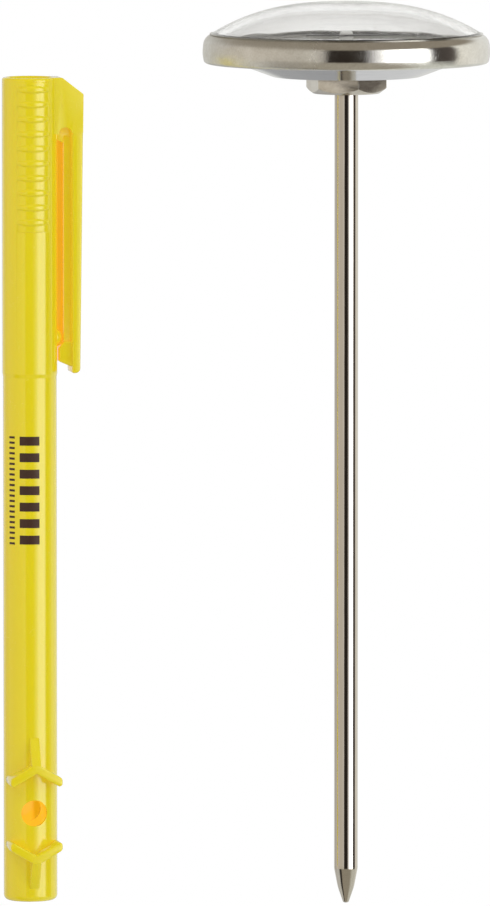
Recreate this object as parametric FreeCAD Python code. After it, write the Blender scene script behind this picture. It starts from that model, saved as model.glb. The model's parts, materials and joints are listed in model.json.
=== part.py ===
"""Pocket dial thermometer with its moulded sheath: one STEP file for each separate piece.

Millimetres, +Z up towards the dial. The origin is on the stem's axis, in the plane of the nut's underside.
The sheath stands beside the stem, parallel to it, with its mouth level with the top of the nut.
"""

import FreeCAD, Part
import math
import os

from FreeCAD import Rotation, Vector

# Stem
stem_radius = 1.85
stem_wall = 0.25
stem_length = 127.0
taper_length = 5.9
taper_shoulder_radius = 1.15
taper_shoulder_height = 2.3
taper_end_radius = 0.5
tip_plug_depth = 3.0
coil_nose_length = 3.0

# Hex nut and the neck that the case turns on
nut_across_flats = 11.1
nut_height = 2.44
nut_chamfer_inset = 0.35
nut_chamfer_slope = 0.75
nut_corner_turn = 17.0
neck_wall = 2.15
neck_top_room = 0.35
seal_wire_radius = 0.35
seal_ring_inset = 0.8
groove_clearance = 0.05

# Bimetal coil, pointer shaft and their bushes
coil_clearance = 0.3
coil_strip_thickness = 0.2
coil_strip_height = 1.4
coil_pitch = 2.4
coil_turns = 12
shaft_radius = 0.4
collar_height = 4.0
bush_length = 4.0
lower_bush_gap = 2.0
running_clearance = 0.04

# Case
case_gap = 0.16
case_wall = 0.4
case_floor_radius = 11.5
case_floor_round = 1.2
case_clearance = 0.1
ledge_width = 3.5
ledge_rise = 2.08
neck_hole_clearance = 0.05
washer_width = 2.4
washer_thickness = 0.25
washer_rise = 0.15
ring_thickness = 0.35
ring_width = 1.6
ring_groove_depth = 0.4
stack_gap = 0.05

# Dial, lens and bezel
dial_seat_width = 1.6
dial_seat_height = 1.68
dial_clearance = 0.1
dial_thickness = 0.4
dial_hole_clearance = 0.2
gasket_width = 1.3
gasket_thickness = 0.4
bezel_radius = 22.4
bezel_wall = 0.6
bezel_lip_round = 0.45
bezel_base_round = 0.9
bezel_lip_width = 1.3
bezel_curl_width = 4.8
bezel_curl_lift = 0.08
dome_rise = 4.97
lens_thickness = 1.2
lens_rim_height = 0.75
lens_lip_clearance = 0.02

# Pointer
pointer_length = 12.5
pointer_tail = 6.4
pointer_width = 1.5
pointer_tip_width = 0.25
pointer_eye_wall = 0.5
pointer_thickness = 0.2
pointer_lift = 1.2
pointer_heading = 15.0
hub_wall = 0.7
hub_shoulder_wall = 0.3
hub_foot = 0.7
hub_cap = 0.55

# Sheath barrel
sheath_offset = 49.4
sheath_turn = 10.0
sheath_rise = 2.5
sheath_bore_clearance = 1.35
sheath_wall = 1.1
sheath_tip_room = 0.8
sheath_floor = 1.2
sheath_step = 0.1
sheath_mouth_round = 0.3
sheath_bottom_round = 0.8

# Finger ribs
rib_count = 10
rib_pitch = 2.3
rib_first = 1.75
rib_half_height = 0.75
rib_proud = 0.35
rib_half_angle = 33.0
pad_proud = 0.12
pad_top = 0.6
pad_bottom = 24.0

# Clip block, clip and the knuckle that stands for its bending root; reaches count from the barrel's surface
clip_depth = 5.0
block_stand = 3.86
block_flat = 0.5
block_chamfer_height = 2.6
block_height = 7.7
web_depth = 1.6
web_stand = 0.95
strip_stand = 2.06
strip_stand_low = 3.32
clip_length = 46.2
clip_end_round = 0.55
knuckle_level = 9.2
knuckle_clearance = 0.05
root_web_level = 9.4
root_web_gap = 0.3
toe_rise = 3.9
toe_foot = 1.8
toe_slope = 1.0
toe_gap = 0.12
toe_depth = 3.2
nub_proud = 0.75
nub_half_height = 1.3
nub_above_toe = 1.65
flange_gap = 0.15
flange_set_back = 0.8
flange_thickness = 0.4

# Recalibration wrench on the sheath
wrench_hole_clearance = 0.2
wrench_hole_recess = 0.1
wrench_from_end = 14.0
wrench_clearance = 0.07
wrench_wall = 1.35
wrench_half_width = 4.1
wrench_proud = 2.2
gusset_thickness = 1.5
gusset_run = 3.9

# Levels of the head, from the nut upwards
case_bottom = nut_height + case_gap
case_floor = case_bottom + case_wall
washer_bottom = case_floor + stack_gap
ring_bottom = washer_bottom + washer_rise + washer_thickness + stack_gap
neck_top = ring_bottom + ring_thickness + neck_top_room
ledge_bottom = case_floor + ledge_rise
ledge_top = ledge_bottom + case_wall
dial_bottom = ledge_top + dial_seat_height
dial_top = dial_bottom + dial_thickness
gasket_top = dial_top + gasket_thickness
lens_rim_top = gasket_top + lens_rim_height
bezel_top = lens_rim_top + bezel_wall
bezel_bottom = ledge_bottom - bezel_wall
pointer_bottom = dial_top + pointer_lift
pointer_top = pointer_bottom + pointer_thickness

# Radii of the head, from the bezel inwards
bezel_bore = bezel_radius - bezel_wall
bezel_lip_radius = bezel_radius - bezel_lip_width
bezel_curl_radius = bezel_radius - bezel_curl_width
case_radius = bezel_bore - case_clearance
case_bore = case_radius - case_wall
ledge_radius = case_radius - ledge_width
cone_rise = (ledge_bottom - case_bottom) / (ledge_radius - case_floor_radius)
dome_radius = (bezel_lip_radius**2 + dome_rise**2) / (2 * dome_rise)
dome_centre = bezel_top + dome_rise - dome_radius
neck_radius = stem_radius + neck_wall
seal_radius = nut_across_flats / 2 - seal_ring_inset
seal_level = case_bottom - groove_clearance - seal_wire_radius
hub_radius = shaft_radius + hub_wall
hub_shoulder = shaft_radius + hub_shoulder_wall

# Levels and radii inside the stem
tube_bore = stem_radius - stem_wall
taper_top = taper_length - stem_length
coil_outer_radius = tube_bore - coil_clearance
coil_inner_radius = coil_outer_radius - coil_strip_thickness
coil_bottom = taper_top + tip_plug_depth
coil_top = coil_bottom + coil_pitch * coil_turns + coil_strip_height
collar_bottom = coil_top - coil_nose_length
lower_bush_bottom = collar_bottom + collar_height + lower_bush_gap

# Sheath radii and levels
sheath_bore_radius = stem_radius + sheath_bore_clearance
sheath_radius = sheath_bore_radius + sheath_wall
sheath_low_radius = sheath_radius - sheath_step
sheath_wall_middle = sheath_bore_radius + sheath_wall / 2
sheath_length = stem_length + sheath_tip_room + sheath_floor
wrench_level = sheath_length - wrench_from_end
wrench_front = sheath_radius + wrench_proud
block_reach = sheath_radius + block_stand
web_inner = sheath_radius + web_stand
strip_inner = sheath_radius + strip_stand
toe_top = clip_length - toe_rise
toe_bottom = clip_length - toe_foot
nub_level = toe_top - nub_above_toe


def revolved(points):
    """Solid turned from a closed outline of (radius, height) corners about the stem's axis."""
    corners = [Vector(radius, 0, height) for radius, height in points]
    face = Part.Face(Part.makePolygon(corners + corners[:1]))
    return face.revolve(Vector(0, 0, 0), Vector(0, 0, 1), 360)


def tube(inner, outer, bottom, top):
    """Plain ring or tube about the stem's axis."""
    return revolved([(inner, bottom), (outer, bottom), (outer, top), (inner, top)])


def rod(radius, bottom, top):
    """Plain cylinder about the stem's axis."""
    return Part.makeCylinder(radius, top - bottom, Vector(0, 0, bottom))


def plate(points, start, depth):
    """Flat piece with corners (x, z), from y = start towards +Y by depth."""
    corners = [Vector(x, start, z) for x, z in points]
    return Part.Face(Part.makePolygon(corners + corners[:1])).extrude(Vector(0, depth, 0))


def rounded(shape, radius, keep):
    """Shape with a fillet on each edge that keep accepts by the edge's centre and box."""
    edges = [edge for edge in shape.Edges if keep(edge.CenterOfMass, edge.BoundBox)]
    return shape.makeFillet(radius, edges)


def ring_at(radius, height):
    """Test for the circular edge of one radius at one height about the stem's axis."""

    def keep(_centre, box):
        flat = abs(box.ZMin - height) < 0.01 and abs(box.ZMax - height) < 0.01
        return flat and abs(box.XMax - radius) < 0.01

    return keep


def save(name, shape):
    """Write one node's STEP file."""
    shape.exportStep(f"parts/{name}.step")
    print(name, len(shape.Solids), round(shape.Volume, 3), shape.isValid())


# ---------------------------------------------------------------- stem and neck


def make_stem_tube():
    """Thin tube, welded end to end against the nut's underside; the nut's bore carries its bore on."""
    return tube(tube_bore, stem_radius, taper_top, 0)


def make_stem_tip():
    """Ogive point with a plug up into the tube and a thin nose that the coil is welded round."""
    shoulder = taper_top - (taper_length - taper_shoulder_height)
    nib = -stem_length + taper_end_radius
    lower = [
        (0, -stem_length),
        (taper_end_radius * 0.7, -stem_length + taper_end_radius * 0.3),
        (taper_end_radius, nib),
        (taper_shoulder_radius, shoulder),
        (stem_radius, taper_top),
    ]
    upper = [
        (tube_bore, taper_top),
        (tube_bore, coil_bottom),
        (coil_inner_radius, coil_bottom),
        (coil_inner_radius, coil_bottom + coil_nose_length),
        (0, coil_bottom + coil_nose_length),
    ]
    return revolved(lower + upper)


def hexagon(across_flats, bottom, top, turn):
    """Hexagonal prism with one corner at the heading turn, counted from -Y towards +X."""
    reach = across_flats / 2 / math.cos(math.radians(30))
    corners = []
    for index in range(6):
        heading = math.radians(-90 + turn + 60 * index)
        corners.append(Vector(reach * math.cos(heading), reach * math.sin(heading), bottom))
    return Part.Face(Part.makePolygon(corners + corners[:1])).extrude(Vector(0, 0, top - bottom))


def make_hex_nut():
    """Chamfered hex with a neck for the case, a groove for the retaining ring and one for the seal."""
    flat = nut_across_flats / 2 - nut_chamfer_inset
    chamfer_rise = nut_height / nut_chamfer_slope
    chamfer = revolved([(0, 0), (flat, 0), (flat + chamfer_rise, nut_height), (0, nut_height)])
    nut = hexagon(nut_across_flats, 0, nut_height, nut_corner_turn).common(chamfer)
    neck = rod(neck_radius, nut_height, neck_top)
    groove_radius = neck_radius - ring_groove_depth
    ring_groove = tube(groove_radius, neck_radius + 1, ring_bottom, ring_bottom + ring_thickness)
    seal_room = seal_wire_radius + groove_clearance
    seal_groove = tube(
        seal_radius - seal_room, seal_radius + seal_room, seal_level - seal_room, nut_height
    )
    bore = rod(tube_bore, -1, neck_top + 1)
    return nut.fuse(neck).cut([ring_groove, seal_groove, bore]).removeSplitter()


def make_neck_seal():
    """O-ring that closes the gap between the nut and the case back."""
    return Part.makeTorus(seal_radius, seal_wire_radius, Vector(0, 0, seal_level))


def make_spring_washer():
    """Shallow cone-shaped washer that presses the case floor down from under the retaining ring."""
    inner = neck_radius + neck_hole_clearance
    outer = neck_radius + washer_width
    return revolved(
        [
            (inner, washer_bottom + washer_rise),
            (outer, washer_bottom),
            (outer, washer_bottom + washer_thickness),
            (inner, washer_bottom + washer_rise + washer_thickness),
        ]
    )


def make_retaining_ring():
    """Split ring that sits in the neck's groove."""
    inner = neck_radius - ring_groove_depth
    ring = tube(inner, inner + ring_width, ring_bottom, ring_bottom + ring_thickness)
    corner = Vector(-inner / 2, inner - ring_width / 2, ring_bottom - ring_thickness)
    return ring.cut(Part.makeBox(inner, 2 * ring_width, 3 * ring_thickness, corner))


def make_bush(bottom):
    """Bush pressed into the bore of the tube or the nut, with a running bore for the pointer shaft."""
    bore = shaft_radius + running_clearance
    ease = stem_wall / 2
    return revolved(
        [
            (bore, bottom),
            (tube_bore - ease, bottom),
            (tube_bore, bottom + ease),
            (tube_bore, bottom + bush_length - ease),
            (tube_bore - ease, bottom + bush_length),
            (bore, bottom + bush_length),
        ]
    )


# ---------------------------------------------------------------- bimetal and pointer


def helix_turn(radius, level):
    """Edge of one turn of the coil's helix, drawn as a straight line on the unrolled cylinder."""
    cylinder = Part.Cylinder()
    cylinder.Radius = radius
    start = FreeCAD.Base.Vector2d(0, level)
    end = FreeCAD.Base.Vector2d(2 * math.pi, level + coil_pitch)
    return Part.Geom2d.Line2dSegment(start, end).toShape(cylinder)


def make_bimetal_coil():
    """Helical strip: its first turn grips the tip plug's nose and its last turn the shaft's collar."""
    corners = [
        (coil_inner_radius, coil_bottom),
        (coil_outer_radius, coil_bottom),
        (coil_outer_radius, coil_bottom + coil_strip_height),
        (coil_inner_radius, coil_bottom + coil_strip_height),
    ]
    edges = [helix_turn(radius, level) for radius, level in corners]
    sides = []
    for first, second in zip(edges, edges[1:] + edges[:1]):
        sides += Part.makeRuledSurface(first, second).Faces
    faces = []
    for turn in range(coil_turns):
        faces += [side.translated(Vector(0, 0, turn * coil_pitch)) for side in sides]
    for rise in (0, coil_turns * coil_pitch):
        points = [Vector(radius, 0, level + rise) for radius, level in corners]
        faces.append(Part.Face(Part.makePolygon(points + points[:1])))
    shell = Part.makeShell(faces)
    shell.sewShape()
    return Part.Solid(shell)


def make_coil_collar():
    """Collar crimped on the foot of the shaft."""
    return tube(shaft_radius, coil_inner_radius, collar_bottom, collar_bottom + collar_height)


def make_pointer_shaft():
    return rod(shaft_radius, collar_bottom, pointer_top + hub_cap)


def make_pointer_hub():
    """Flanged hub: a foot under the pointer, a shoulder through it and a domed cap on top."""
    return revolved(
        [
            (shaft_radius, pointer_bottom - hub_foot),
            (hub_radius, pointer_bottom - hub_foot),
            (hub_radius, pointer_bottom),
            (hub_shoulder, pointer_bottom),
            (hub_shoulder, pointer_top),
            (hub_radius, pointer_top),
            (hub_shoulder, pointer_top + hub_cap),
            (shaft_radius, pointer_top + hub_cap),
        ]
    )


def make_pointer():
    """Stamped needle with a counterweight tail, riveted round the hub's shoulder."""
    wide = pointer_width / 2
    fine = pointer_tip_width / 2
    corners = [
        Vector(pointer_length, -fine, pointer_bottom),
        Vector(pointer_length, fine, pointer_bottom),
        Vector(0, wide, pointer_bottom),
        Vector(-pointer_tail, wide, pointer_bottom),
        Vector(-pointer_tail, -wide, pointer_bottom),
        Vector(0, -wide, pointer_bottom),
    ]
    needle = Part.Face(Part.makePolygon(corners + corners[:1])).extrude(Vector(0, 0, pointer_thickness))
    needle = needle.fuse(rod(hub_radius + pointer_eye_wall, pointer_bottom, pointer_top))
    needle = needle.cut(rod(hub_shoulder, pointer_bottom - 1, pointer_top + 1)).removeSplitter()
    needle.rotate(Vector(0, 0, 0), Vector(0, 0, 1), pointer_heading)
    return needle


# ---------------------------------------------------------------- head


def make_case_back():
    """Dished cup: flat floor with the neck hole, cone, ledge under the dial and a short wall."""
    hole = neck_radius + neck_hole_clearance
    shift = case_wall * math.tan(math.atan(cone_rise) / 2)
    case = revolved(
        [
            (hole, case_bottom),
            (case_floor_radius, case_bottom),
            (ledge_radius, ledge_bottom),
            (case_radius, ledge_bottom),
            (case_radius, dial_top),
            (case_bore, dial_top),
            (case_bore, ledge_top),
            (ledge_radius - shift, ledge_top),
            (case_floor_radius - shift, case_floor),
            (hole, case_floor),
        ]
    )
    return rounded(case, case_floor_round, ring_at(case_floor_radius, case_bottom))


def make_dial_seat_ring():
    outer = case_bore - stack_gap
    return tube(outer - dial_seat_width, outer, ledge_top, dial_bottom)


def make_dial_plate():
    return tube(hub_radius + dial_hole_clearance, case_bore - dial_clearance, dial_bottom, dial_top)


def make_lens_gasket():
    outer = bezel_bore - stack_gap
    return tube(outer - gasket_width, outer, dial_top, gasket_top)


def make_bezel_ring():
    """Rolled ring of C section: a lip over the lens, a wall, and a curl under the case's ledge."""
    curl_top = case_bottom + (bezel_curl_radius - case_floor_radius) * cone_rise
    ring = revolved(
        [
            (bezel_lip_radius, lens_rim_top),
            (bezel_bore, lens_rim_top),
            (bezel_bore, ledge_bottom),
            (ledge_radius, ledge_bottom),
            (bezel_curl_radius, curl_top),
            (bezel_curl_radius, bezel_bottom + bezel_curl_lift),
            (bezel_curl_radius + bezel_wall, bezel_bottom),
            (bezel_radius, bezel_bottom),
            (bezel_radius, bezel_top),
            (bezel_lip_radius, bezel_top),
        ]
    )
    ring = rounded(ring, bezel_base_round, ring_at(bezel_radius, bezel_bottom))
    return rounded(ring, bezel_lip_round, ring_at(bezel_radius, bezel_top))


def make_lens():
    """Spherical dome with a flat rim that the bezel's lip holds down."""
    centre = Vector(0, 0, dome_centre)
    dome = Part.makeSphere(dome_radius, centre).cut(Part.makeSphere(dome_radius - lens_thickness, centre))
    dome = dome.common(rod(bezel_lip_radius - lens_lip_clearance, gasket_top, bezel_top + 2 * dome_rise))
    outer = bezel_bore - stack_gap
    rim = tube(outer - gasket_width, outer, gasket_top, lens_rim_top - lens_lip_clearance)
    return dome.fuse(rim).removeSplitter()


# ---------------------------------------------------------------- sheath
# These are drawn about their own axis with the mouth at height 0, the wrench facing -Y and the clip +X.


def sector(inner, outer, low, high, half_angle):
    """Ring sector centred on -Y, between two heights."""
    ring = tube(inner, outer, low, high)
    reach = 2 * outer
    spread = reach * math.tan(math.radians(half_angle))
    corners = [Vector(0, 0, low), Vector(-spread, -reach, low), Vector(spread, -reach, low)]
    wedge = Part.Face(Part.makePolygon(corners + corners[:1])).extrude(Vector(0, 0, high - low))
    return ring.common(wedge)


def make_finger_rib(level):
    """One rib: a ring sector with sloping flanks."""
    rib = revolved(
        [
            (sheath_wall_middle, level - rib_half_height),
            (sheath_radius + pad_proud, level - rib_half_height),
            (sheath_radius + rib_proud, level - rib_half_height / 3),
            (sheath_radius + rib_proud, level + rib_half_height / 3),
            (sheath_radius + pad_proud, level + rib_half_height),
            (sheath_wall_middle, level + rib_half_height),
        ]
    )
    low = level - rib_half_height
    high = level + rib_half_height
    return rib.common(sector(sheath_wall_middle, sheath_radius + 2 * rib_proud, low, high, rib_half_angle))


def make_wrench_jaw(direction):
    """One V-shaped jaw with its gusset; direction is +1 for the upper jaw and -1 for the lower."""
    slope = math.tan(math.radians(30))
    apex = (nut_across_flats + wrench_clearance) / 2 / math.cos(math.radians(30))
    outer_apex = apex + wrench_wall / math.cos(math.radians(30))
    drop = wrench_half_width * slope
    corners = [
        (0, apex),
        (wrench_half_width, apex - drop),
        (wrench_half_width, outer_apex - drop),
        (0, outer_apex),
        (-wrench_half_width, outer_apex - drop),
        (-wrench_half_width, apex - drop),
    ]
    jaw = plate([(x, direction * z) for x, z in corners], -wrench_front, wrench_front)
    ramp_start = outer_apex + gusset_run
    side = [
        (wrench_front, apex),
        (wrench_front, outer_apex),
        (sheath_low_radius, ramp_start),
        (sheath_wall_middle, ramp_start),
        (sheath_wall_middle, apex),
    ]
    points = [Vector(-gusset_thickness / 2, -reach, direction * z) for reach, z in side]
    gusset = Part.Face(Part.makePolygon(points + points[:1])).extrude(Vector(gusset_thickness, 0, 0))
    return jaw.fuse(gusset)


def strip_outer(level):
    """Reach of the clip's outer face at a depth below the mouth; it leans in towards its lower end."""
    share = (level - block_chamfer_height) / (clip_length - block_chamfer_height)
    return block_reach + (strip_stand_low - block_stand) * share


def knuckle():
    """Centre reach and radius of the rounded root that the clip turns on."""
    outer = strip_outer(knuckle_level)
    return (strip_inner + outer) / 2, (outer - strip_inner) / 2


def cross_rod(reach, level, radius, depth):
    """Cylinder along Y, centred on the sheath's middle plane."""
    return Part.makeCylinder(radius, depth, Vector(reach, -depth / 2, -level), Vector(0, 1, 0))


def make_clip_block():
    """Block beside the mouth that carries the clip, with the start of its strip and web."""
    head = plate(
        [
            (0, 0),
            (sheath_radius + block_flat, 0),
            (block_reach, -block_chamfer_height),
            (strip_outer(block_height), -block_height),
            (0, -block_height),
        ],
        -clip_depth / 2,
        clip_depth,
    )
    start = plate(
        [
            (strip_inner, -block_height),
            (strip_outer(block_height), -block_height),
            (strip_outer(knuckle_level), -knuckle_level),
            (strip_inner, -knuckle_level),
        ],
        -clip_depth / 2,
        clip_depth,
    )
    web = plate(
        [
            (0, -block_height),
            (strip_inner, -block_height),
            (strip_inner, -root_web_level),
            (0, -root_web_level),
        ],
        -web_depth / 2,
        web_depth,
    )
    reach, radius = knuckle()
    socket = cross_rod(reach, knuckle_level, radius + knuckle_clearance, 2 * clip_depth)
    return head.fuse([start, web]).cut(socket)


def make_cross_hole():
    """Flat-ended hole for the stem: open at the wrench, and stopped just inside the far wall."""
    depth = wrench_front + sheath_bore_radius + wrench_hole_recess
    mouth = Vector(0, -wrench_front, -wrench_level)
    return Part.makeCylinder(stem_radius + wrench_hole_clearance, depth, mouth, Vector(0, 1, 0))


def make_sheath():
    """One moulding: barrel, finger pad and ribs, clip block, stop nub, cross hole and wrench jaws."""
    barrel = revolved(
        [
            (0, 0),
            (sheath_radius, 0),
            (sheath_radius, -clip_length),
            (sheath_low_radius, -clip_length - sheath_step),
            (sheath_low_radius, -sheath_length),
            (0, -sheath_length),
        ]
    )
    barrel = rounded(barrel, sheath_bottom_round, ring_at(sheath_low_radius, -sheath_length))
    pad = sector(sheath_wall_middle, sheath_radius + pad_proud, -pad_bottom, -pad_top, rib_half_angle)
    ribs = [make_finger_rib(-rib_first - index * rib_pitch) for index in range(rib_count)]
    nub_radius = (nub_half_height**2 + nub_proud**2) / (2 * nub_proud)
    nub = Part.makeSphere(nub_radius, Vector(sheath_radius + nub_proud - nub_radius, 0, -nub_level))
    jaws = []
    for direction in (1, -1):
        jaw = make_wrench_jaw(direction)
        jaw.translate(Vector(0, 0, -wrench_level))
        jaws.append(jaw)
    body = barrel.fuse([pad, *ribs, nub, make_clip_block(), *jaws])
    bore = rod(sheath_bore_radius, -sheath_length + sheath_floor, 1)
    body = body.cut([bore, make_cross_hole()]).removeSplitter()
    return rounded(body, sheath_mouth_round, ring_at(sheath_bore_radius, 0))


def make_pocket_clip():
    """Long clip: outer strip on a narrow web with a flange behind it, rounded root, and a toe by the barrel."""
    reach, radius = knuckle()
    strip = plate(
        [
            (strip_inner, -knuckle_level),
            (strip_outer(knuckle_level), -knuckle_level),
            (strip_outer(clip_length), -clip_length),
            (strip_inner, -clip_length),
        ],
        -clip_depth / 2,
        clip_depth,
    )
    web_top = root_web_level + root_web_gap
    web = plate(
        [
            (web_inner, -web_top),
            (strip_inner, -web_top),
            (strip_inner, -toe_bottom),
            (web_inner, -toe_bottom),
        ],
        -web_depth / 2,
        web_depth,
    )
    flange_reach = sheath_radius + flange_gap
    flange = plate(
        [
            (flange_reach, -web_top),
            (strip_inner, -web_top),
            (strip_inner, -toe_bottom),
            (flange_reach, -toe_bottom),
        ],
        web_depth / 2 + flange_set_back,
        flange_thickness,
    )
    toe_reach = sheath_radius + toe_gap
    toe = plate(
        [
            (strip_inner, -toe_top + toe_slope),
            (web_inner, -toe_top + toe_slope),
            (toe_reach, -toe_top),
            (toe_reach, -toe_bottom),
            (strip_inner, -toe_bottom - toe_slope),
        ],
        -toe_depth / 2,
        toe_depth,
    )
    root = cross_rod(reach, knuckle_level, radius, clip_depth)
    clip = strip.fuse([web, flange, toe, root]).removeSplitter()

    def at_end(centre, box):
        return abs(centre.z + clip_length) < 0.01 and box.YLength > clip_depth - 0.1

    return rounded(clip, clip_end_round, at_end)


def beside_stem(shape):
    """Turn a sheath piece and stand it beside the stem."""
    shape.Placement = FreeCAD.Placement(
        Vector(-sheath_offset, 0, sheath_rise), Rotation(Vector(0, 0, 1), sheath_turn)
    )
    return shape


os.makedirs("parts", exist_ok=True)

save("stem_tube", make_stem_tube())
save("stem_tip", make_stem_tip())
save("hex_nut", make_hex_nut())
save("neck_seal", make_neck_seal())
save("spring_washer", make_spring_washer())
save("retaining_ring", make_retaining_ring())
save("lower_guide_bush", make_bush(lower_bush_bottom))
save("upper_bearing_bush", make_bush(neck_top - bush_length))
save("bimetal_coil", make_bimetal_coil())
save("coil_collar", make_coil_collar())
save("pointer_shaft", make_pointer_shaft())
save("pointer_hub", make_pointer_hub())
save("pointer", make_pointer())
save("case_back", make_case_back())
save("dial_seat_ring", make_dial_seat_ring())
save("dial_plate", make_dial_plate())
save("lens_gasket", make_lens_gasket())
save("bezel_ring", make_bezel_ring())
save("lens", make_lens())
save("sheath", beside_stem(make_sheath()))
save("pocket_clip", beside_stem(make_pocket_clip()))
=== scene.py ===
"""Finished look of a pocket dial thermometer with its moulded sheath, built round the fixed frame.

Sizes of the pieces are in millimetres and become metres as a piece is drawn. The stem's axis is the Z axis,
with the underside of the nut at height 0. The sheath is drawn about its own axis, with its mouth at height 0,
its wrench facing -Y and its clip +X, and is then turned and stood in its place beside the stem.
"""

import json
import logging
import math
from dataclasses import dataclass, field
from enum import Enum
from typing import Any, Callable, Sequence

import bpy
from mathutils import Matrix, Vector


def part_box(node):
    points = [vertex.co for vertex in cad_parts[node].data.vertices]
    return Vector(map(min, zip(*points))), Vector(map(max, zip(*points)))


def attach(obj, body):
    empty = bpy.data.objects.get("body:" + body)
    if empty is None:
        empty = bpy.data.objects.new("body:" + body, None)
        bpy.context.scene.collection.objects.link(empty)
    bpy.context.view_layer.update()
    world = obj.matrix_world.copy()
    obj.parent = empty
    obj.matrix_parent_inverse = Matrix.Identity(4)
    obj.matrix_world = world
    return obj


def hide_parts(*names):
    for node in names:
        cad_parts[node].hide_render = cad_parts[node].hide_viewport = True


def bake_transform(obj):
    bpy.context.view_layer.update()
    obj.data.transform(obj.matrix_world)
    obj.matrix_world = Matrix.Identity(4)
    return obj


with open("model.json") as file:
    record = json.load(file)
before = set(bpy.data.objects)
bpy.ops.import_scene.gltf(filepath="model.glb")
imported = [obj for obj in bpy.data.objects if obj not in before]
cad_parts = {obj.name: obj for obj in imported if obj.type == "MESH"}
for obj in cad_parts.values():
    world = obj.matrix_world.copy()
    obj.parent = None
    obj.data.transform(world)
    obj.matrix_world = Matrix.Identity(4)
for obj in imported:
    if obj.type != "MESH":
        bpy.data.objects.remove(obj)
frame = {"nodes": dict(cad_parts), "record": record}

MM = 0.001
TURN_STEPS = 128
MERGE_GAP = 1e-7
SMOOTH_ANGLE = math.radians(32)

Spot = tuple[float, float]
Corner = tuple[float, float, float]
Colour = tuple[float, float, float]
Piece = bpy.types.Object
Finish = bpy.types.Material
Socket = bpy.types.NodeSocket
Feed = Socket | float | Sequence[float]

LOG = logging.getLogger("thermometer")


# ---------------------------------------------------------------- reading the frame


@dataclass(frozen=True)
class Reach:
    """How far a node about the stem's axis reaches, in millimetres."""

    radius: float
    low: float
    high: float


def reach(node: str) -> Reach:
    """Measure a node of the frame.

    Args:
        node: Name of the node.

    Returns:
        Its outer radius and its lowest and highest level.
    """
    low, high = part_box(node)
    return Reach(high.x / MM, low.z / MM, high.z / MM)


def measured(node: str) -> Any:
    """Dataclass field that is read from a node of the frame."""
    return field(default_factory=lambda: reach(node))


def mount(name: str) -> dict[str, Any]:
    """Mount of the record with that name."""
    return next(entry for entry in frame["record"]["mounts"] if entry["name"] == name)


# ---------------------------------------------------------------- outlines


def eased(corners: Sequence[Corner], steps: int = 5) -> list[Spot]:
    """Round the corners of an outline, each by its own radius.

    Args:
        corners: Corners in order, each as across, up and radius of rounding.
        steps: Straight runs in each rounding.

    Returns:
        Points of the outline in order.
    """
    spots: list[Spot] = []
    for index, (across, up, radius) in enumerate(corners):
        here = Vector((across, up))
        if radius == 0:
            spots.append((across, up))
            continue
        before = (Vector(corners[index - 1][:2]) - here).normalized()
        after = (Vector(corners[(index + 1) % len(corners)][:2]) - here).normalized()
        half = before.angle(after) / 2
        middle = here + (before + after).normalized() * (radius / math.sin(half))
        start = here + before * (radius / math.tan(half)) - middle
        finish = here + after * (radius / math.tan(half)) - middle
        first = math.atan2(start.y, start.x)
        sweep = math.remainder(math.atan2(finish.y, finish.x) - first, math.tau)
        for step in range(steps + 1):
            angle = first + sweep * step / steps
            spots.append((middle.x + radius * math.cos(angle), middle.y + radius * math.sin(angle)))
    return spots


def arc(middle: Spot, radius: float, start: float, finish: float, steps: int) -> list[Spot]:
    """Points along a circle.

    Args:
        middle: Centre of the circle.
        radius: Its radius.
        start: First angle in degrees, from across towards up.
        finish: Last angle in degrees.
        steps: Straight runs along it.

    Returns:
        The points, from start to finish.
    """
    angles = [math.radians(start + (finish - start) * step / steps) for step in range(steps + 1)]
    return [(middle[0] + radius * math.cos(a), middle[1] + radius * math.sin(a)) for a in angles]


# ---------------------------------------------------------------- workbench


class Cut(Enum):
    """How one solid is combined with another."""

    ADD = "UNION"
    TAKE = "DIFFERENCE"
    KEEP = "INTERSECT"


def select_only(piece: Piece) -> None:
    """Select one piece and make it active."""
    bpy.ops.object.select_all(action="DESELECT")
    piece.select_set(True)
    bpy.context.view_layer.objects.active = piece


def draw(name: str, spots: Sequence[Spot], closed: bool = True) -> Piece:
    """Draw an outline in the XZ plane, point by point, and stay in edit mode.

    Args:
        name: Name of the new piece.
        spots: Points of the outline.
        closed: Whether the last point is joined to the first.

    Returns:
        The piece that holds the outline.
    """
    bpy.ops.object.select_all(action="DESELECT")
    bpy.ops.mesh.primitive_plane_add(size=MM)
    piece = bpy.context.object
    piece.name = piece.data.name = name
    points = [Vector((across * MM, 0, up * MM)) for across, up in spots]
    bpy.ops.object.mode_set(mode="EDIT")
    bpy.ops.mesh.select_all(action="SELECT")
    bpy.ops.mesh.merge(type="CENTER")
    bpy.ops.transform.translate(value=points[0])
    stops = points[1:] + points[:1] if closed else points[1:]
    for here, there in zip(points, stops):
        bpy.ops.mesh.extrude_region_move(TRANSFORM_OT_translate={"value": there - here})
    bpy.ops.mesh.select_all(action="SELECT")
    bpy.ops.mesh.remove_doubles(threshold=MERGE_GAP)
    return piece


def close_up(piece: Piece) -> Piece:
    """Merge doubled points, point the faces outwards and leave edit mode."""
    bpy.ops.mesh.select_all(action="SELECT")
    bpy.ops.mesh.remove_doubles(threshold=MERGE_GAP)
    bpy.ops.mesh.normals_make_consistent(inside=False)
    bpy.ops.object.mode_set(mode="OBJECT")
    return piece


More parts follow.
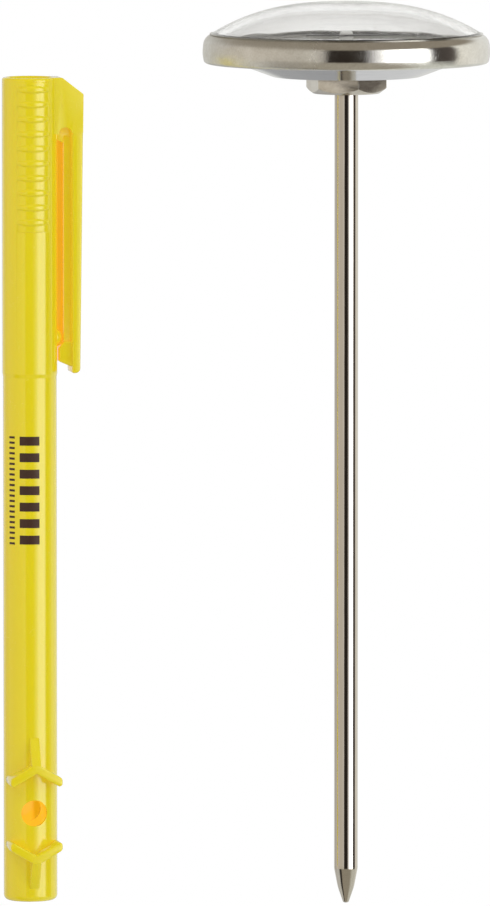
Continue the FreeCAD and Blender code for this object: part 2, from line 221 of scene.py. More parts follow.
def turned(name: str, spots: Sequence[Spot], closed: bool = True, steps: int = TURN_STEPS) -> Piece:
    """Turn an outline of radius and height all the way round the Z axis.

    Args:
        name: Name of the new piece.
        spots: Points of the outline; an open outline starts and ends on the axis.
        closed: Whether the outline closes on itself.
        steps: Facets round the axis.

    Returns:
        The closed solid.
    """
    piece = draw(name, spots, closed)
    bpy.ops.mesh.spin(steps=steps, angle=math.tau, center=(0, 0, 0), axis=(0, 0, 1))
    return close_up(piece)


def sector(name: str, spots: Sequence[Spot], half_angle: float, heading: float, steps: int = 12) -> Piece:
    """Turn a closed outline part of the way round the Z axis.

    Args:
        name: Name of the new piece.
        spots: Outline of radius and height.
        half_angle: Degrees to each side of the middle.
        heading: Direction of the middle, in degrees from +X towards +Y.
        steps: Facets along the sector.

    Returns:
        The closed solid.
    """
    piece = draw(name, spots)
    bpy.ops.mesh.edge_face_add()
    angle = math.radians(2 * half_angle)
    bpy.ops.mesh.spin(steps=steps, angle=angle, center=(0, 0, 0), axis=(0, 0, 1))
    close_up(piece)
    middle = math.atan2(sum(v.co.y for v in piece.data.vertices), sum(v.co.x for v in piece.data.vertices))
    return place(piece, heading - math.degrees(middle))


def prism(name: str, spots: Sequence[Spot], depth: float, start: float | None = None) -> Piece:
    """Give an outline in the XZ plane a depth along Y.

    Args:
        name: Name of the new piece.
        spots: Points of the outline.
        depth: Size along Y.
        start: Lowest Y, or None to centre the piece on the plane.

    Returns:
        The closed solid.
    """
    piece = draw(name, spots)
    bpy.ops.mesh.edge_face_add()
    bpy.ops.transform.translate(value=(0, (-depth / 2 if start is None else start) * MM, 0))
    bpy.ops.mesh.extrude_region_move(TRANSFORM_OT_translate={"value": (0, depth * MM, 0)})
    return close_up(piece)


def place(piece: Piece, heading: float = 0, offset: Sequence[float] = (0, 0, 0)) -> Piece:
    """Turn a piece about Z, move it, and put the result into its mesh.

    Args:
        piece: The piece.
        heading: Degrees about Z.
        offset: Move along X, Y and Z, in millimetres.

    Returns:
        The same piece.
    """
    select_only(piece)
    piece.rotation_euler = (0, 0, math.radians(heading))
    piece.location = Vector(offset) * MM
    bpy.ops.object.transform_apply(location=True, rotation=True, scale=True)
    return piece


def copy_of(piece: Piece, heading: float = 0, offset: Sequence[float] = (0, 0, 0)) -> Piece:
    """Copy of a piece with its own mesh, turned and moved."""
    select_only(piece)
    bpy.ops.object.duplicate(linked=False)
    return place(bpy.context.object, heading, offset)


def joined(name: str, pieces: Sequence[Piece]) -> Piece:
    """Make several pieces one object.

    Args:
        name: Name of the result.
        pieces: The pieces.

    Returns:
        The object that holds them all.
    """
    select_only(pieces[0])
    for piece in pieces[1:]:
        piece.select_set(True)
    bpy.ops.object.join()
    pieces[0].name = pieces[0].data.name = name
    return pieces[0]


def softened(piece: Piece, width: float, steps: int = 3, angle: float = 25) -> Piece:
    """Round the sharp edges of a piece.

    Args:
        piece: The piece.
        width: Size of the rounding.
        steps: Facets across it.
        angle: Edges that turn by more than this, in degrees, are rounded.

    Returns:
        The same piece.
    """
    select_only(piece)
    bpy.ops.object.modifier_add(type="BEVEL")
    bevel = piece.modifiers[-1]
    bevel.width = width * MM
    bevel.segments = steps
    bevel.limit_method = "ANGLE"
    bevel.angle_limit = math.radians(angle)
    bpy.ops.object.modifier_apply(modifier=bevel.name)
    return piece


def combine(piece: Piece, how: Cut, *tools: Piece) -> Piece:
    """Add solids to a piece, take them away, or keep what they share.

    Args:
        piece: The piece that is changed.
        how: What is done.
        tools: The other solids, which are used up.

    Returns:
        The same piece.
    """
    for tool in tools:
        select_only(piece)
        bpy.ops.object.modifier_add(type="BOOLEAN")
        modifier = piece.modifiers[-1]
        modifier.solver = "EXACT"
        modifier.operation = how.value
        modifier.object = tool
        bpy.ops.object.modifier_apply(modifier=modifier.name)
        select_only(tool)
        bpy.ops.object.delete()
    return piece


def sliced(piece: Piece, level: float, keep_above: bool) -> Piece:
    """Cut a piece at a level, close the cut and drop the other part.

    Args:
        piece: The piece.
        level: Height of the cut.
        keep_above: Whether the part above the cut stays.

    Returns:
        The same piece.
    """
    select_only(piece)
    bpy.ops.object.mode_set(mode="EDIT")
    bpy.ops.mesh.select_all(action="SELECT")
    bpy.ops.mesh.bisect(
        plane_co=(0, 0, level * MM), plane_no=(0, 0, 1), use_fill=True,
        clear_inner=keep_above, clear_outer=not keep_above,
    )
    return close_up(piece)


def ringed(piece: Piece, levels: Sequence[float]) -> Piece:
    """Add a loop of edges to a piece at each level.

    Args:
        piece: The piece.
        levels: Heights of the loops.

    Returns:
        The same piece.
    """
    select_only(piece)
    bpy.ops.object.mode_set(mode="EDIT")
    for level in levels:
        bpy.ops.mesh.select_all(action="SELECT")
        bpy.ops.mesh.bisect(plane_co=(0, 0, level * MM), plane_no=(0, 0, 1))
    return close_up(piece)


def finished(piece: Piece, finish: Finish, body: str | None, slot: str, *nodes: str) -> Piece:
    """Smooth and dress a piece, hang it on its body and hide the nodes of the frame that it stands for.

    Args:
        piece: The piece, in its place.
        finish: Its material.
        body: Body that it is hung on, or None to leave it unattached.
        slot: Slot of the record that its finish comes from; not used.
        nodes: Nodes of the frame that it stands for.

    Returns:
        The same piece.
    """
    select_only(piece)
    bpy.ops.object.shade_smooth_by_angle(angle=SMOOTH_ANGLE)
    piece.data.materials.clear()
    piece.data.materials.append(finish)
    if body:
        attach(piece, body)
    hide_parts(*nodes)
    LOG.info("%s: %d faces", piece.name, len(piece.data.polygons))
    return piece


# ---------------------------------------------------------------- node boards


class Board:
    """Node tree with short ways to add nodes and wire them."""

    def __init__(self, tree: bpy.types.NodeTree) -> None:
        """Work on one tree."""
        self.tree = tree

    def wire(self, target: Socket, value: Feed) -> None:
        """Link a socket to another one, or set its value."""
        if isinstance(value, bpy.types.NodeSocket):
            self.tree.links.new(value, target)
        else:
            target.default_value = value

    def add(self, kind: str, feeds: dict[str | int, Feed] | None = None, **settings: Any) -> bpy.types.Node:
        """Add a node.

        Args:
            kind: Type of the node, without its ShaderNode prefix.
            feeds: What goes into its sockets, by name or number.
            settings: Its own settings.

        Returns:
            The node.
        """
        node = self.tree.nodes.new("ShaderNode" + kind)
        for key, value in settings.items():
            setattr(node, key, value)
        for key, value in (feeds or {}).items():
            self.wire(node.inputs[key], value)
        return node

    def maths(self, operation: str, first: Feed, second: Feed = 0.0) -> Socket:
        """Result of a sum on one or two values."""
        return self.add("Math", {0: first, 1: second}, operation=operation).outputs[0]

    def blend(self, amount: Feed, first: Feed, second: Feed) -> Socket:
        """Colour between two colours."""
        return self.add("Mix", {0: amount, 6: first, 7: second}, data_type="RGBA").outputs[2]

    def span(self, value: Feed, low: float, high: float, first: Feed = 0.0, last: Feed = 1.0) -> Socket:
        """Value stretched from one range to another, and held within it."""
        return self.add("MapRange", {0: value, 1: low, 2: high, 3: first, 4: last}).outputs[0]

    def stretched(self, vector: Feed, by: Sequence[float]) -> Socket:
        """Vector with each part multiplied by its own number."""
        return self.add("VectorMath", {0: vector, 1: by}, operation="MULTIPLY").outputs[0]

    def noise(self, vector: Feed, scale: Feed, detail: float = 4, rough: float = 0.55) -> Socket:
        """Soft noise between 0 and 1."""
        feeds = {"Vector": vector, "Scale": scale, "Detail": detail, "Roughness": rough}
        return self.add("TexNoise", feeds).outputs[0]

    def object_place(self) -> Socket:
        """Place on the object, in millimetres."""
        place_node = self.add("TexCoord").outputs["Object"]
        return self.stretched(place_node, (1 / MM, 1 / MM, 1 / MM))


class Effect(Enum):
    """Shared effects, each a node group that is built once."""

    DRAWN = "drawn_lines"
    TURNED = "turned_rings"
    TUMBLED = "tumbled_skin"
    HANDLED = "handling_marks"
    RECESSED = "recess_and_edge"


class EffectShelf:
    """Builds the shared effects and places them in materials."""

    def __init__(self) -> None:
        """Start with no group built."""
        self.built: dict[Effect, bpy.types.NodeTree] = {}
        self.makers: dict[Effect, Callable[[], bpy.types.NodeTree]] = {
            Effect.DRAWN: self.drawn,
            Effect.TURNED: self.turned,
            Effect.TUMBLED: self.tumbled,
            Effect.HANDLED: self.handled,
            Effect.RECESSED: self.recessed,
        }

    def place(self, board: Board, effect: Effect, **feeds: Feed) -> bpy.types.Node:
        """Put an effect on a board.

        Args:
            board: Board of the material.
            effect: The effect.
            feeds: What goes into its sockets.

        Returns:
            The group node.
        """
        if effect not in self.built:
            self.built[effect] = self.makers[effect]()
        node = board.add("Group", node_tree=self.built[effect])
        for name, value in feeds.items():
            board.wire(node.inputs[name], value)
        return node

    @staticmethod
    def start(effect: Effect, takes: dict[str, float | None]) -> tuple[Board, dict[str, Socket]]:
        """Begin a group.

        Args:
            effect: The effect, which names the group.
            takes: Its inputs: a number to start from, or None for a vector.

        Returns:
            A board on the group, and its input sockets by name.
        """
        tree = bpy.data.node_groups.new(effect.value, "ShaderNodeTree")
        for name, value in takes.items():
            kind = "NodeSocketVector" if value is None else "NodeSocketFloat"
            socket = tree.interface.new_socket(name=name, in_out="INPUT", socket_type=kind)
            if value is not None:
                socket.default_value = value
        source = tree.nodes.new("NodeGroupInput")
        return Board(tree), {name: source.outputs[name] for name in takes}

    @staticmethod
    def end(board: Board, **gives: Socket) -> bpy.types.NodeTree:
        """Finish a group.

        Args:
            board: Board on the group.
            gives: What each output puts out.

        Returns:
            The group's tree.
        """
        for name in gives:
            board.tree.interface.new_socket(name=name, in_out="OUTPUT", socket_type="NodeSocketFloat")
        sink = board.tree.nodes.new("NodeGroupOutput")
        for name, value in gives.items():
            board.wire(sink.inputs[name], value)
        return board.tree

    def drawn(self) -> bpy.types.NodeTree:
        """Fine lines along Z, as a drawn tube has, and slower bands among them."""
        board, takes = self.start(Effect.DRAWN, {"Place": None, "Pitch": 4.0})
        lines = board.noise(board.stretched(takes["Place"], (1, 1, 0.03)), takes["Pitch"], 5, 0.6)
        bands = board.noise(board.stretched(takes["Place"], (1, 1, 0.12)), 0.6, 3)
        tone = board.maths("MULTIPLY_ADD", lines, 0.6)
        tone.node.inputs[2].default_value = 0.0
        total = board.maths("ADD", tone, board.maths("MULTIPLY", bands, 0.4))
        return self.end(board, Tone=board.span(total, 0.32, 0.68), Height=lines)

    def turned(self) -> bpy.types.NodeTree:
        """Fine rings about Z, as a lathe or a polishing wheel leaves, broken by slow patches."""
        board, takes = self.start(Effect.TURNED, {"Place": None, "Pitch": 4.0})
        parts = board.add("SeparateXYZ", {0: takes["Place"]})
        flat = board.stretched(takes["Place"], (1, 1, 0))
        radius = board.add("VectorMath", {0: flat}, operation="LENGTH").outputs["Value"]
        around = board.add("VectorMath", {0: flat}, operation="NORMALIZE").outputs[0]
        across = board.maths("ADD", radius, parts.outputs[2])
        lift = board.add("CombineXYZ", {2: across}).outputs[0]
        ring_place = board.add("VectorMath", {0: around, 1: lift}, operation="ADD").outputs[0]
        rings = board.noise(ring_place, takes["Pitch"], 5, 0.65)
        patches = board.noise(takes["Place"], 0.35, 3)
        total = board.maths("ADD", board.maths("MULTIPLY", rings, 0.65), board.maths("MULTIPLY", patches, 0.35))
        return self.end(board, Tone=board.span(total, 0.34, 0.66), Height=rings)

    def tumbled(self) -> bpy.types.NodeTree:
        """Even mottle of small pits, as a pressed, cast or moulded skin has."""
        board, takes = self.start(Effect.TUMBLED, {"Place": None, "Pitch": 4.0})
        grain = board.noise(takes["Place"], takes["Pitch"], 6, 0.6)
        slow = board.noise(takes["Place"], 0.45, 2)
        cells = board.add("TexVoronoi", {"Vector": takes["Place"], "Scale": takes["Pitch"]}).outputs[0]
        pits = board.span(cells, 0.0, 0.35)
        tone = board.maths("ADD", board.maths("MULTIPLY", grain, 0.6), board.maths("MULTIPLY", slow, 0.4))
        height = board.maths("ADD", board.maths("MULTIPLY", pits, 0.35), grain)
        return self.end(board, Tone=board.span(tone, 0.36, 0.64), Height=height)

    def handled(self) -> bpy.types.NodeTree:
        """Smudges of the fingers and a few hairline scratches."""
        board, takes = self.start(Effect.HANDLED, {"Place": None, "Scratches": 0.3})
        smudge = board.span(board.noise(takes["Place"], 0.22, 3, 0.7), 0.42, 0.68)
        lines = []
        for stretch in ((0.9, 0.08, 0.25), (0.12, 0.7, 0.5)):
            line = board.noise(board.stretched(takes["Place"], stretch), 1.6, 2, 0.4)
            away = board.maths("ABSOLUTE", board.maths("SUBTRACT", line, 0.5))
            lines.append(board.span(away, 0.0, 0.006, 1.0, 0.0))
        both = board.maths("MAXIMUM", lines[0], lines[1])
        broken = board.span(board.noise(takes["Place"], 0.5, 2), 0.5, 0.6)
        scratch = board.maths("MULTIPLY", board.maths("MULTIPLY", both, broken), takes["Scratches"])
        return self.end(board, Smudge=smudge, Scratch=scratch)

    def recessed(self) -> bpy.types.NodeTree:
        """Masks of what lies in a recess and of what stands out as an edge, from ambient occlusion; they drive painted
        shade in recesses and a painted highlight on edges.
        """
        board, takes = self.start(Effect.RECESSED, {"Recess": 0.003, "Edge": 0.0006})
        deep = board.add("AmbientOcclusion", {"Distance": takes["Recess"]}, samples=12)
        out = board.add("AmbientOcclusion", {"Distance": takes["Edge"]}, samples=6, inside=True)
        recess = board.span(deep.outputs["AO"], 0.0, 1.0, 1.0, 0.0)
        edge = board.span(out.outputs["AO"], 0.3, 0.85, 1.0, 0.0)
        return self.end(board, Recess=recess, Edge=edge)


SHELF = EffectShelf()


# ---------------------------------------------------------------- finishes


def new_finish(name: str) -> tuple[Finish, Board, bpy.types.Node]:
    """Begin a material.

    Args:
        name: Its name.

    Returns:
        The material, a board on its tree, and its Principled shader.
    """
    material = bpy.data.materials.new(name)
    material.use_nodes = True
    board = Board(material.node_tree)
    shader = next(node for node in material.node_tree.nodes if node.type == "BSDF_PRINCIPLED")
    return material, board, shader


@dataclass(frozen=True)
class Metal:
    """Bare metal with the marks of its making, painted shade in its recesses and a painted highlight on its edges."""

    name: str
    bright: Colour
    dull: Colour
    roughness: float
    wander: float
    marks: Effect
    pitch: float
    relief: float
    satin: float = 0.0
    satin_side: float = 0.0
    # Colour of the painted shade in recesses.
    grime: Colour = (0.10, 0.085, 0.07)

    def build(self) -> Finish:
        """Make the material.

        Returns:
            The material.
        """
        material, board, shader = new_finish(self.name)
        where = board.object_place()
        marks = SHELF.place(board, self.marks, Place=where, Pitch=self.pitch)
        hands = SHELF.place(board, Effect.HANDLED, Place=where, Scratches=0.25)
        depth = SHELF.place(board, Effect.RECESSED, Recess=0.0012, Edge=0.0004)
        # Painted shade: the tone darkens where ambient occlusion finds a recess.
        painted_recess_shade = board.span(depth.outputs["Recess"], 0.15, 0.75, 0.0, 0.4)
        tone = board.blend(marks.outputs["Tone"], (*self.bright, 1), (*self.dull, 1))
        recess_shaded_tone = board.blend(painted_recess_shade, tone, (*self.grime, 1))
        # Painted highlight: convex edges are lightened towards the bright tone.
        edge_highlighted = board.blend(board.maths("MULTIPLY", depth.outputs["Edge"], 0.3), recess_shaded_tone, (*self.bright, 1))
        board.wire(shader.inputs["Base Color"], edge_highlighted)
        rough = board.span(marks.outputs["Tone"], 0, 1, self.roughness, self.roughness + self.wander)
        smeared = board.maths("MULTIPLY", hands.outputs["Smudge"], 0.5 * self.wander)
        total = board.maths("ADD", rough, smeared)
        height = board.maths("SUBTRACT", marks.outputs["Height"], hands.outputs["Scratch"])
        if self.satin:
            across = board.add("SeparateXYZ", {0: where}).outputs[0]
            worn_side = board.span(across, self.satin_side - 2.5, self.satin_side + 2.5, 1.0, 0.0)
            total = board.maths("ADD", total, board.maths("MULTIPLY", worn_side, self.satin))
            height = board.maths("MULTIPLY", height, board.span(worn_side, 0, 1, 0.25, 1.0))
        board.wire(shader.inputs["Roughness"], total)
        bump = board.add("Bump", {"Strength": 1.0, "Distance": self.relief * MM, "Height": height})
        board.wire(shader.inputs["Normal"], bump.outputs[0])
        shader.inputs["Metallic"].default_value = 1.0
        return material


@dataclass(frozen=True)
class Hollow:
    """Upright bore inside a moulding, whose wall gets a painted glow that stands in for the light coming through it.
    """

    across: float
    along: float
    radius: float
    mouth: float

    @classmethod
    def of_sheath(cls) -> "Hollow":
        """Bore of the sheath, as the frame has it."""
        bore = mount("sheath_bore")
        across, along, _ = bore["pos_m"]
        return cls(across / MM, along / MM, bore["dims"]["r_mm"] + 0.15, reach("sheath").high)

    def mask(self, board: Board) -> Socket:
        """One on the wall of the bore well below its mouth, and nought elsewhere.

        Args:
            board: The material's nodes.

        Returns:
            The mask.
        """
        across, along, level = board.add("SeparateXYZ", {0: board.object_place()}).outputs[:3]
        spot = board.add("CombineXYZ", {
            0: board.maths("SUBTRACT", across, self.across), 1: board.maths("SUBTRACT", along, self.along),
        }).outputs[0]
        distance = board.add("VectorMath", {0: spot}, operation="LENGTH").outputs["Value"]
        within = board.span(distance, self.radius, self.radius + 0.2, 1.0, 0.0)
        return board.maths("MULTIPLY", within, board.span(level, self.mouth - 10, self.mouth - 3, 1.0, 0.0))


@dataclass(frozen=True)
class Moulded:
    """Moulded plastic, rubber or paint: a body colour under a skin, with painted shade in recesses, a painted
    highlight on edges, and optionally a painted shaded side and a painted glow.
    """

    name: str
    colour: Colour
    # Colour of the painted shade in recesses.
    deep: Colour
    # Paler tone, for the random mottle and for the painted edge highlight.
    fresh: Colour
    roughness: float
    pitch: float
    relief: float
    coat: float = 0.0
    glow: float = 0.0
    recess: float = 3.0
    # Strength of the painted recess shade.
    deepen: float = 1.0
    # Emission colour of a painted glow in recesses, standing in for light through the plastic.
    lit_through: Colour = (0.0, 0.0, 0.0)
    shade_side: Colour | None = None
    hollow: Hollow | None = None
    # Emission colour of a painted glow on the bore's wall.
    hollow_glow: Colour = (0.0, 0.0, 0.0)
    ior: float = 1.47

    def build(self) -> Finish:
        """Make the material.

        Returns:
            The material.
        """
        material, board, shader = new_finish(self.name)
        where = board.object_place()
        skin = SHELF.place(board, Effect.TUMBLED, Place=where, Pitch=self.pitch)
        hands = SHELF.place(board, Effect.HANDLED, Place=where, Scratches=0.4)
        depth = SHELF.place(board, Effect.RECESSED, Recess=self.recess * MM, Edge=0.0005)
        body = board.blend(board.maths("MULTIPLY", skin.outputs["Tone"], 0.35), (*self.colour, 1), (*self.fresh, 1))
        if self.shade_side:
            facing = board.add("SeparateXYZ", {0: board.add("TexCoord").outputs["Normal"]}).outputs[0]
            body = board.blend(board.span(facing, 0.3, -0.9), body, (*self.shade_side, 1))
        # Painted shade: the body colour turns to the shade colour where ambient occlusion finds a recess.
        painted_recess_shade = board.blend(board.span(depth.outputs["Recess"], 0.55, 0.92, 0.0, self.deepen), body, (*self.deep, 1))
        # Painted highlight: convex edges are lightened towards the paler tone.
        edge_highlighted = board.blend(board.maths("MULTIPLY", depth.outputs["Edge"], 0.25), painted_recess_shade, (*self.fresh, 1))
        board.wire(shader.inputs["Base Color"], edge_highlighted)
        rough = board.span(hands.outputs["Smudge"], 0, 1, self.roughness, self.roughness * 1.5)
        board.wire(shader.inputs["Roughness"], board.maths("ADD", rough, hands.outputs["Scratch"]))
        height = board.maths("SUBTRACT", skin.outputs["Height"], hands.outputs["Scratch"])
        bump = board.add("Bump", {"Strength": 1.0, "Distance": self.relief * MM, "Height": height})
        board.wire(shader.inputs["Normal"], bump.outputs[0])
        shader.inputs["IOR"].default_value = self.ior
        shader.inputs["Coat Weight"].default_value = self.coat
        shader.inputs["Coat Roughness"].default_value = 0.06
        # Painted glow: emission in recesses, and on the bore's wall, stands in for light that passes through the
        # plastic.
        if any(self.lit_through):
            through = board.span(depth.outputs["Recess"], 0.15, 0.85)
            painted_glow = board.blend(through, (0, 0, 0, 1), (*self.lit_through, 1))
            if self.hollow:
                painted_glow = board.blend(self.hollow.mask(board), painted_glow, (*self.hollow_glow, 1))
            board.wire(shader.inputs["Emission Color"], painted_glow)
            shader.inputs["Emission Strength"].default_value = 1.0
        if self.glow:
            shader.inputs["Subsurface Weight"].default_value = self.glow
            shader.inputs["Subsurface Radius"].default_value = (1.0, 0.55, 0.08)
            shader.inputs["Subsurface Scale"].default_value = 1.2 * MM
        return material


@dataclass(frozen=True)
class TwoLayerStrip:
    """Bimetal strip: one metal on the face towards the axis and another on the face away from it."""

    name: str
    outer: Colour
    inner: Colour
    roughness: float

    def build(self) -> Finish:
        """Make the material.

        Returns:
            The material.
        """
        material, board, shader = new_finish(self.name)
        where = board.object_place()
        marks = SHELF.place(board, Effect.DRAWN, Place=where, Pitch=6.0)
        flat = board.stretched(where, (1, 1, 0))
        radial = board.add("VectorMath", {0: flat}, operation="NORMALIZE").outputs[0]
        facing = board.add("TexCoord").outputs["Normal"]
        away = board.add("VectorMath", {0: radial, 1: facing}, operation="DOT_PRODUCT").outputs["Value"]
        metals = board.blend(board.span(away, -0.2, 0.2), (*self.inner, 1), (*self.outer, 1))
        dulled = board.blend(board.maths("MULTIPLY", marks.outputs["Tone"], 0.3), metals, (0.25, 0.22, 0.18, 1))
        board.wire(shader.inputs["Base Color"], dulled)
        rough = board.span(marks.outputs["Tone"], 0, 1, self.roughness, self.roughness + 0.15)
        board.wire(shader.inputs["Roughness"], rough)
        bump = board.add("Bump", {"Strength": 1.0, "Distance": 0.004 * MM, "Height": marks.outputs["Height"]})
        board.wire(shader.inputs["Normal"], bump.outputs[0])
        shader.inputs["Metallic"].default_value = 1.0
        return material


@dataclass(frozen=True)
class ClearMoulding:
    """Clear moulded plastic, with the faint waves and hairlines of a used lens."""

    name: str
    tint: Colour
    ior: float
    polish: float

    def build(self) -> Finish:
        """Make the material.

        Returns:
            The material.
        """
        material, board, shader = new_finish(self.name)
        where = board.object_place()
        hands = SHELF.place(board, Effect.HANDLED, Place=where, Scratches=0.6)
        wave = board.noise(where, 0.12, 1)
        height = board.maths("SUBTRACT", wave, board.maths("MULTIPLY", hands.outputs["Scratch"], 0.03))
        bump = board.add("Bump", {"Strength": 1.0, "Distance": 0.06 * MM, "Height": height})
        board.wire(shader.inputs["Normal"], bump.outputs[0])
        rough = board.span(hands.outputs["Smudge"], 0, 1, 0.015, 0.06)
        board.wire(shader.inputs["Roughness"], board.maths("ADD", rough, board.maths("MULTIPLY", hands.outputs["Scratch"], 0.3)))
        faded = board.blend(hands.outputs["Smudge"], (*self.tint, 1), (0.97, 0.97, 0.96, 1))
        board.wire(shader.inputs["Base Color"], faded)
        shader.inputs["IOR"].default_value = self.ior
        shader.inputs["Transmission Weight"].default_value = 1.0
        shader.inputs["Coat Weight"].default_value = self.polish
        return material


STEM_STEEL = Metal("stem_steel", (0.71, 0.67, 0.62), (0.62, 0.58, 0.53), 0.045, 0.05, Effect.DRAWN, 5.0, 0.003)
TIP_STEEL = Metal("tip_steel", (0.71, 0.67, 0.61), (0.60, 0.56, 0.50), 0.06, 0.06, Effect.TURNED, 5.0, 0.004)
NUT_STEEL = Metal("nut_steel", (0.76, 0.73, 0.68), (0.60, 0.56, 0.50), 0.09, 0.10, Effect.TUMBLED, 6.0, 0.012)
CASE_STEEL = Metal("case_steel", (0.74, 0.745, 0.755), (0.66, 0.665, 0.675), 0.09, 0.06, Effect.TURNED, 2.5, 0.002)
BEZEL_STEEL = Metal(
    "bezel_steel", (0.86, 0.855, 0.835), (0.74, 0.725, 0.69), 0.09, 0.07, Effect.TUMBLED, 3.2, 0.022,
    satin=0.26, satin_side=-5.0,
)
SPRING_STEEL = Metal("spring_steel", (0.52, 0.53, 0.55), (0.36, 0.36, 0.37), 0.25, 0.15, Effect.TURNED, 4.0, 0.006)
SHAFT_STEEL = Metal("shaft_steel", (0.70, 0.70, 0.70), (0.55, 0.55, 0.55), 0.18, 0.12, Effect.DRAWN, 7.0, 0.003)
BUSH_BRASS = Metal("bush_brass", (0.86, 0.66, 0.32), (0.62, 0.44, 0.18), 0.22, 0.14, Effect.TURNED, 5.0, 0.006)
BIMETAL = TwoLayerStrip("bimetal", (0.80, 0.60, 0.34), (0.58, 0.58, 0.60), 0.28)
# Sheath plastic: the deep orange is painted shade for recesses, the first emission colour is a painted glow in
# recesses and the second is a painted glow in the bore; the shaded side is painted shade too.
SHEATH_YELLOW = Moulded(
    "sheath_plastic", (0.78, 0.655, 0.012), (0.82, 0.49, 0.012), (0.81, 0.70, 0.016),
    0.085, 2.2, 0.004, coat=0.75, glow=0.10, recess=4.5, deepen=0.9,
    lit_through=(0.26, 0.17, 0.012), shade_side=(0.79, 0.615, 0.014), ior=1.45,
    hollow=Hollow.of_sheath(),
    hollow_glow=(0.33, 0.195, 0.022),
)
PRINT_INK = Moulded(
    "print_ink", (0.045, 0.016, 0.006), (0.03, 0.01, 0.004), (0.075, 0.03, 0.012), 0.38, 5.0, 0.01, recess=0.4,
)
SEAL_RUBBER = Moulded("seal_rubber", (0.02, 0.02, 0.022), (0.008, 0.008, 0.008), (0.04, 0.04, 0.042), 0.6, 5.0, 0.02)
SEAL_PALE = Moulded("seal_pale", (0.62, 0.60, 0.55), (0.40, 0.38, 0.34), (0.72, 0.71, 0.67), 0.5, 5.0, 0.02)
SEAT_PLASTIC = Moulded("seat_plastic", (0.80, 0.79, 0.76), (0.5, 0.48, 0.44), (0.86, 0.86, 0.84), 0.45, 3.0, 0.01)
DIAL_PAINT = Moulded("dial_paint", (0.86, 0.86, 0.84), (0.55, 0.54, 0.52), (0.90, 0.90, 0.89), 0.35, 4.0, 0.004)
POINTER_PAINT = Moulded("pointer_paint", (0.022, 0.02, 0.021), (0.01, 0.01, 0.01), (0.05, 0.048, 0.048), 0.3, 5.0, 0.006)
HUB_PAINT = Moulded("hub_paint", (0.78, 0.77, 0.74), (0.5, 0.48, 0.44), (0.85, 0.84, 0.82), 0.4, 4.0, 0.004)
SCALE_INK = Moulded("scale_ink", (0.15, 0.15, 0.155), (0.10, 0.10, 0.10), (0.22, 0.22, 0.22), 0.4, 6.0, 0.004)
LENS_CLEAR = ClearMoulding("lens_clear", (0.985, 0.985, 0.98), ior=1.20, polish=0.6)


# ---------------------------------------------------------------- stem


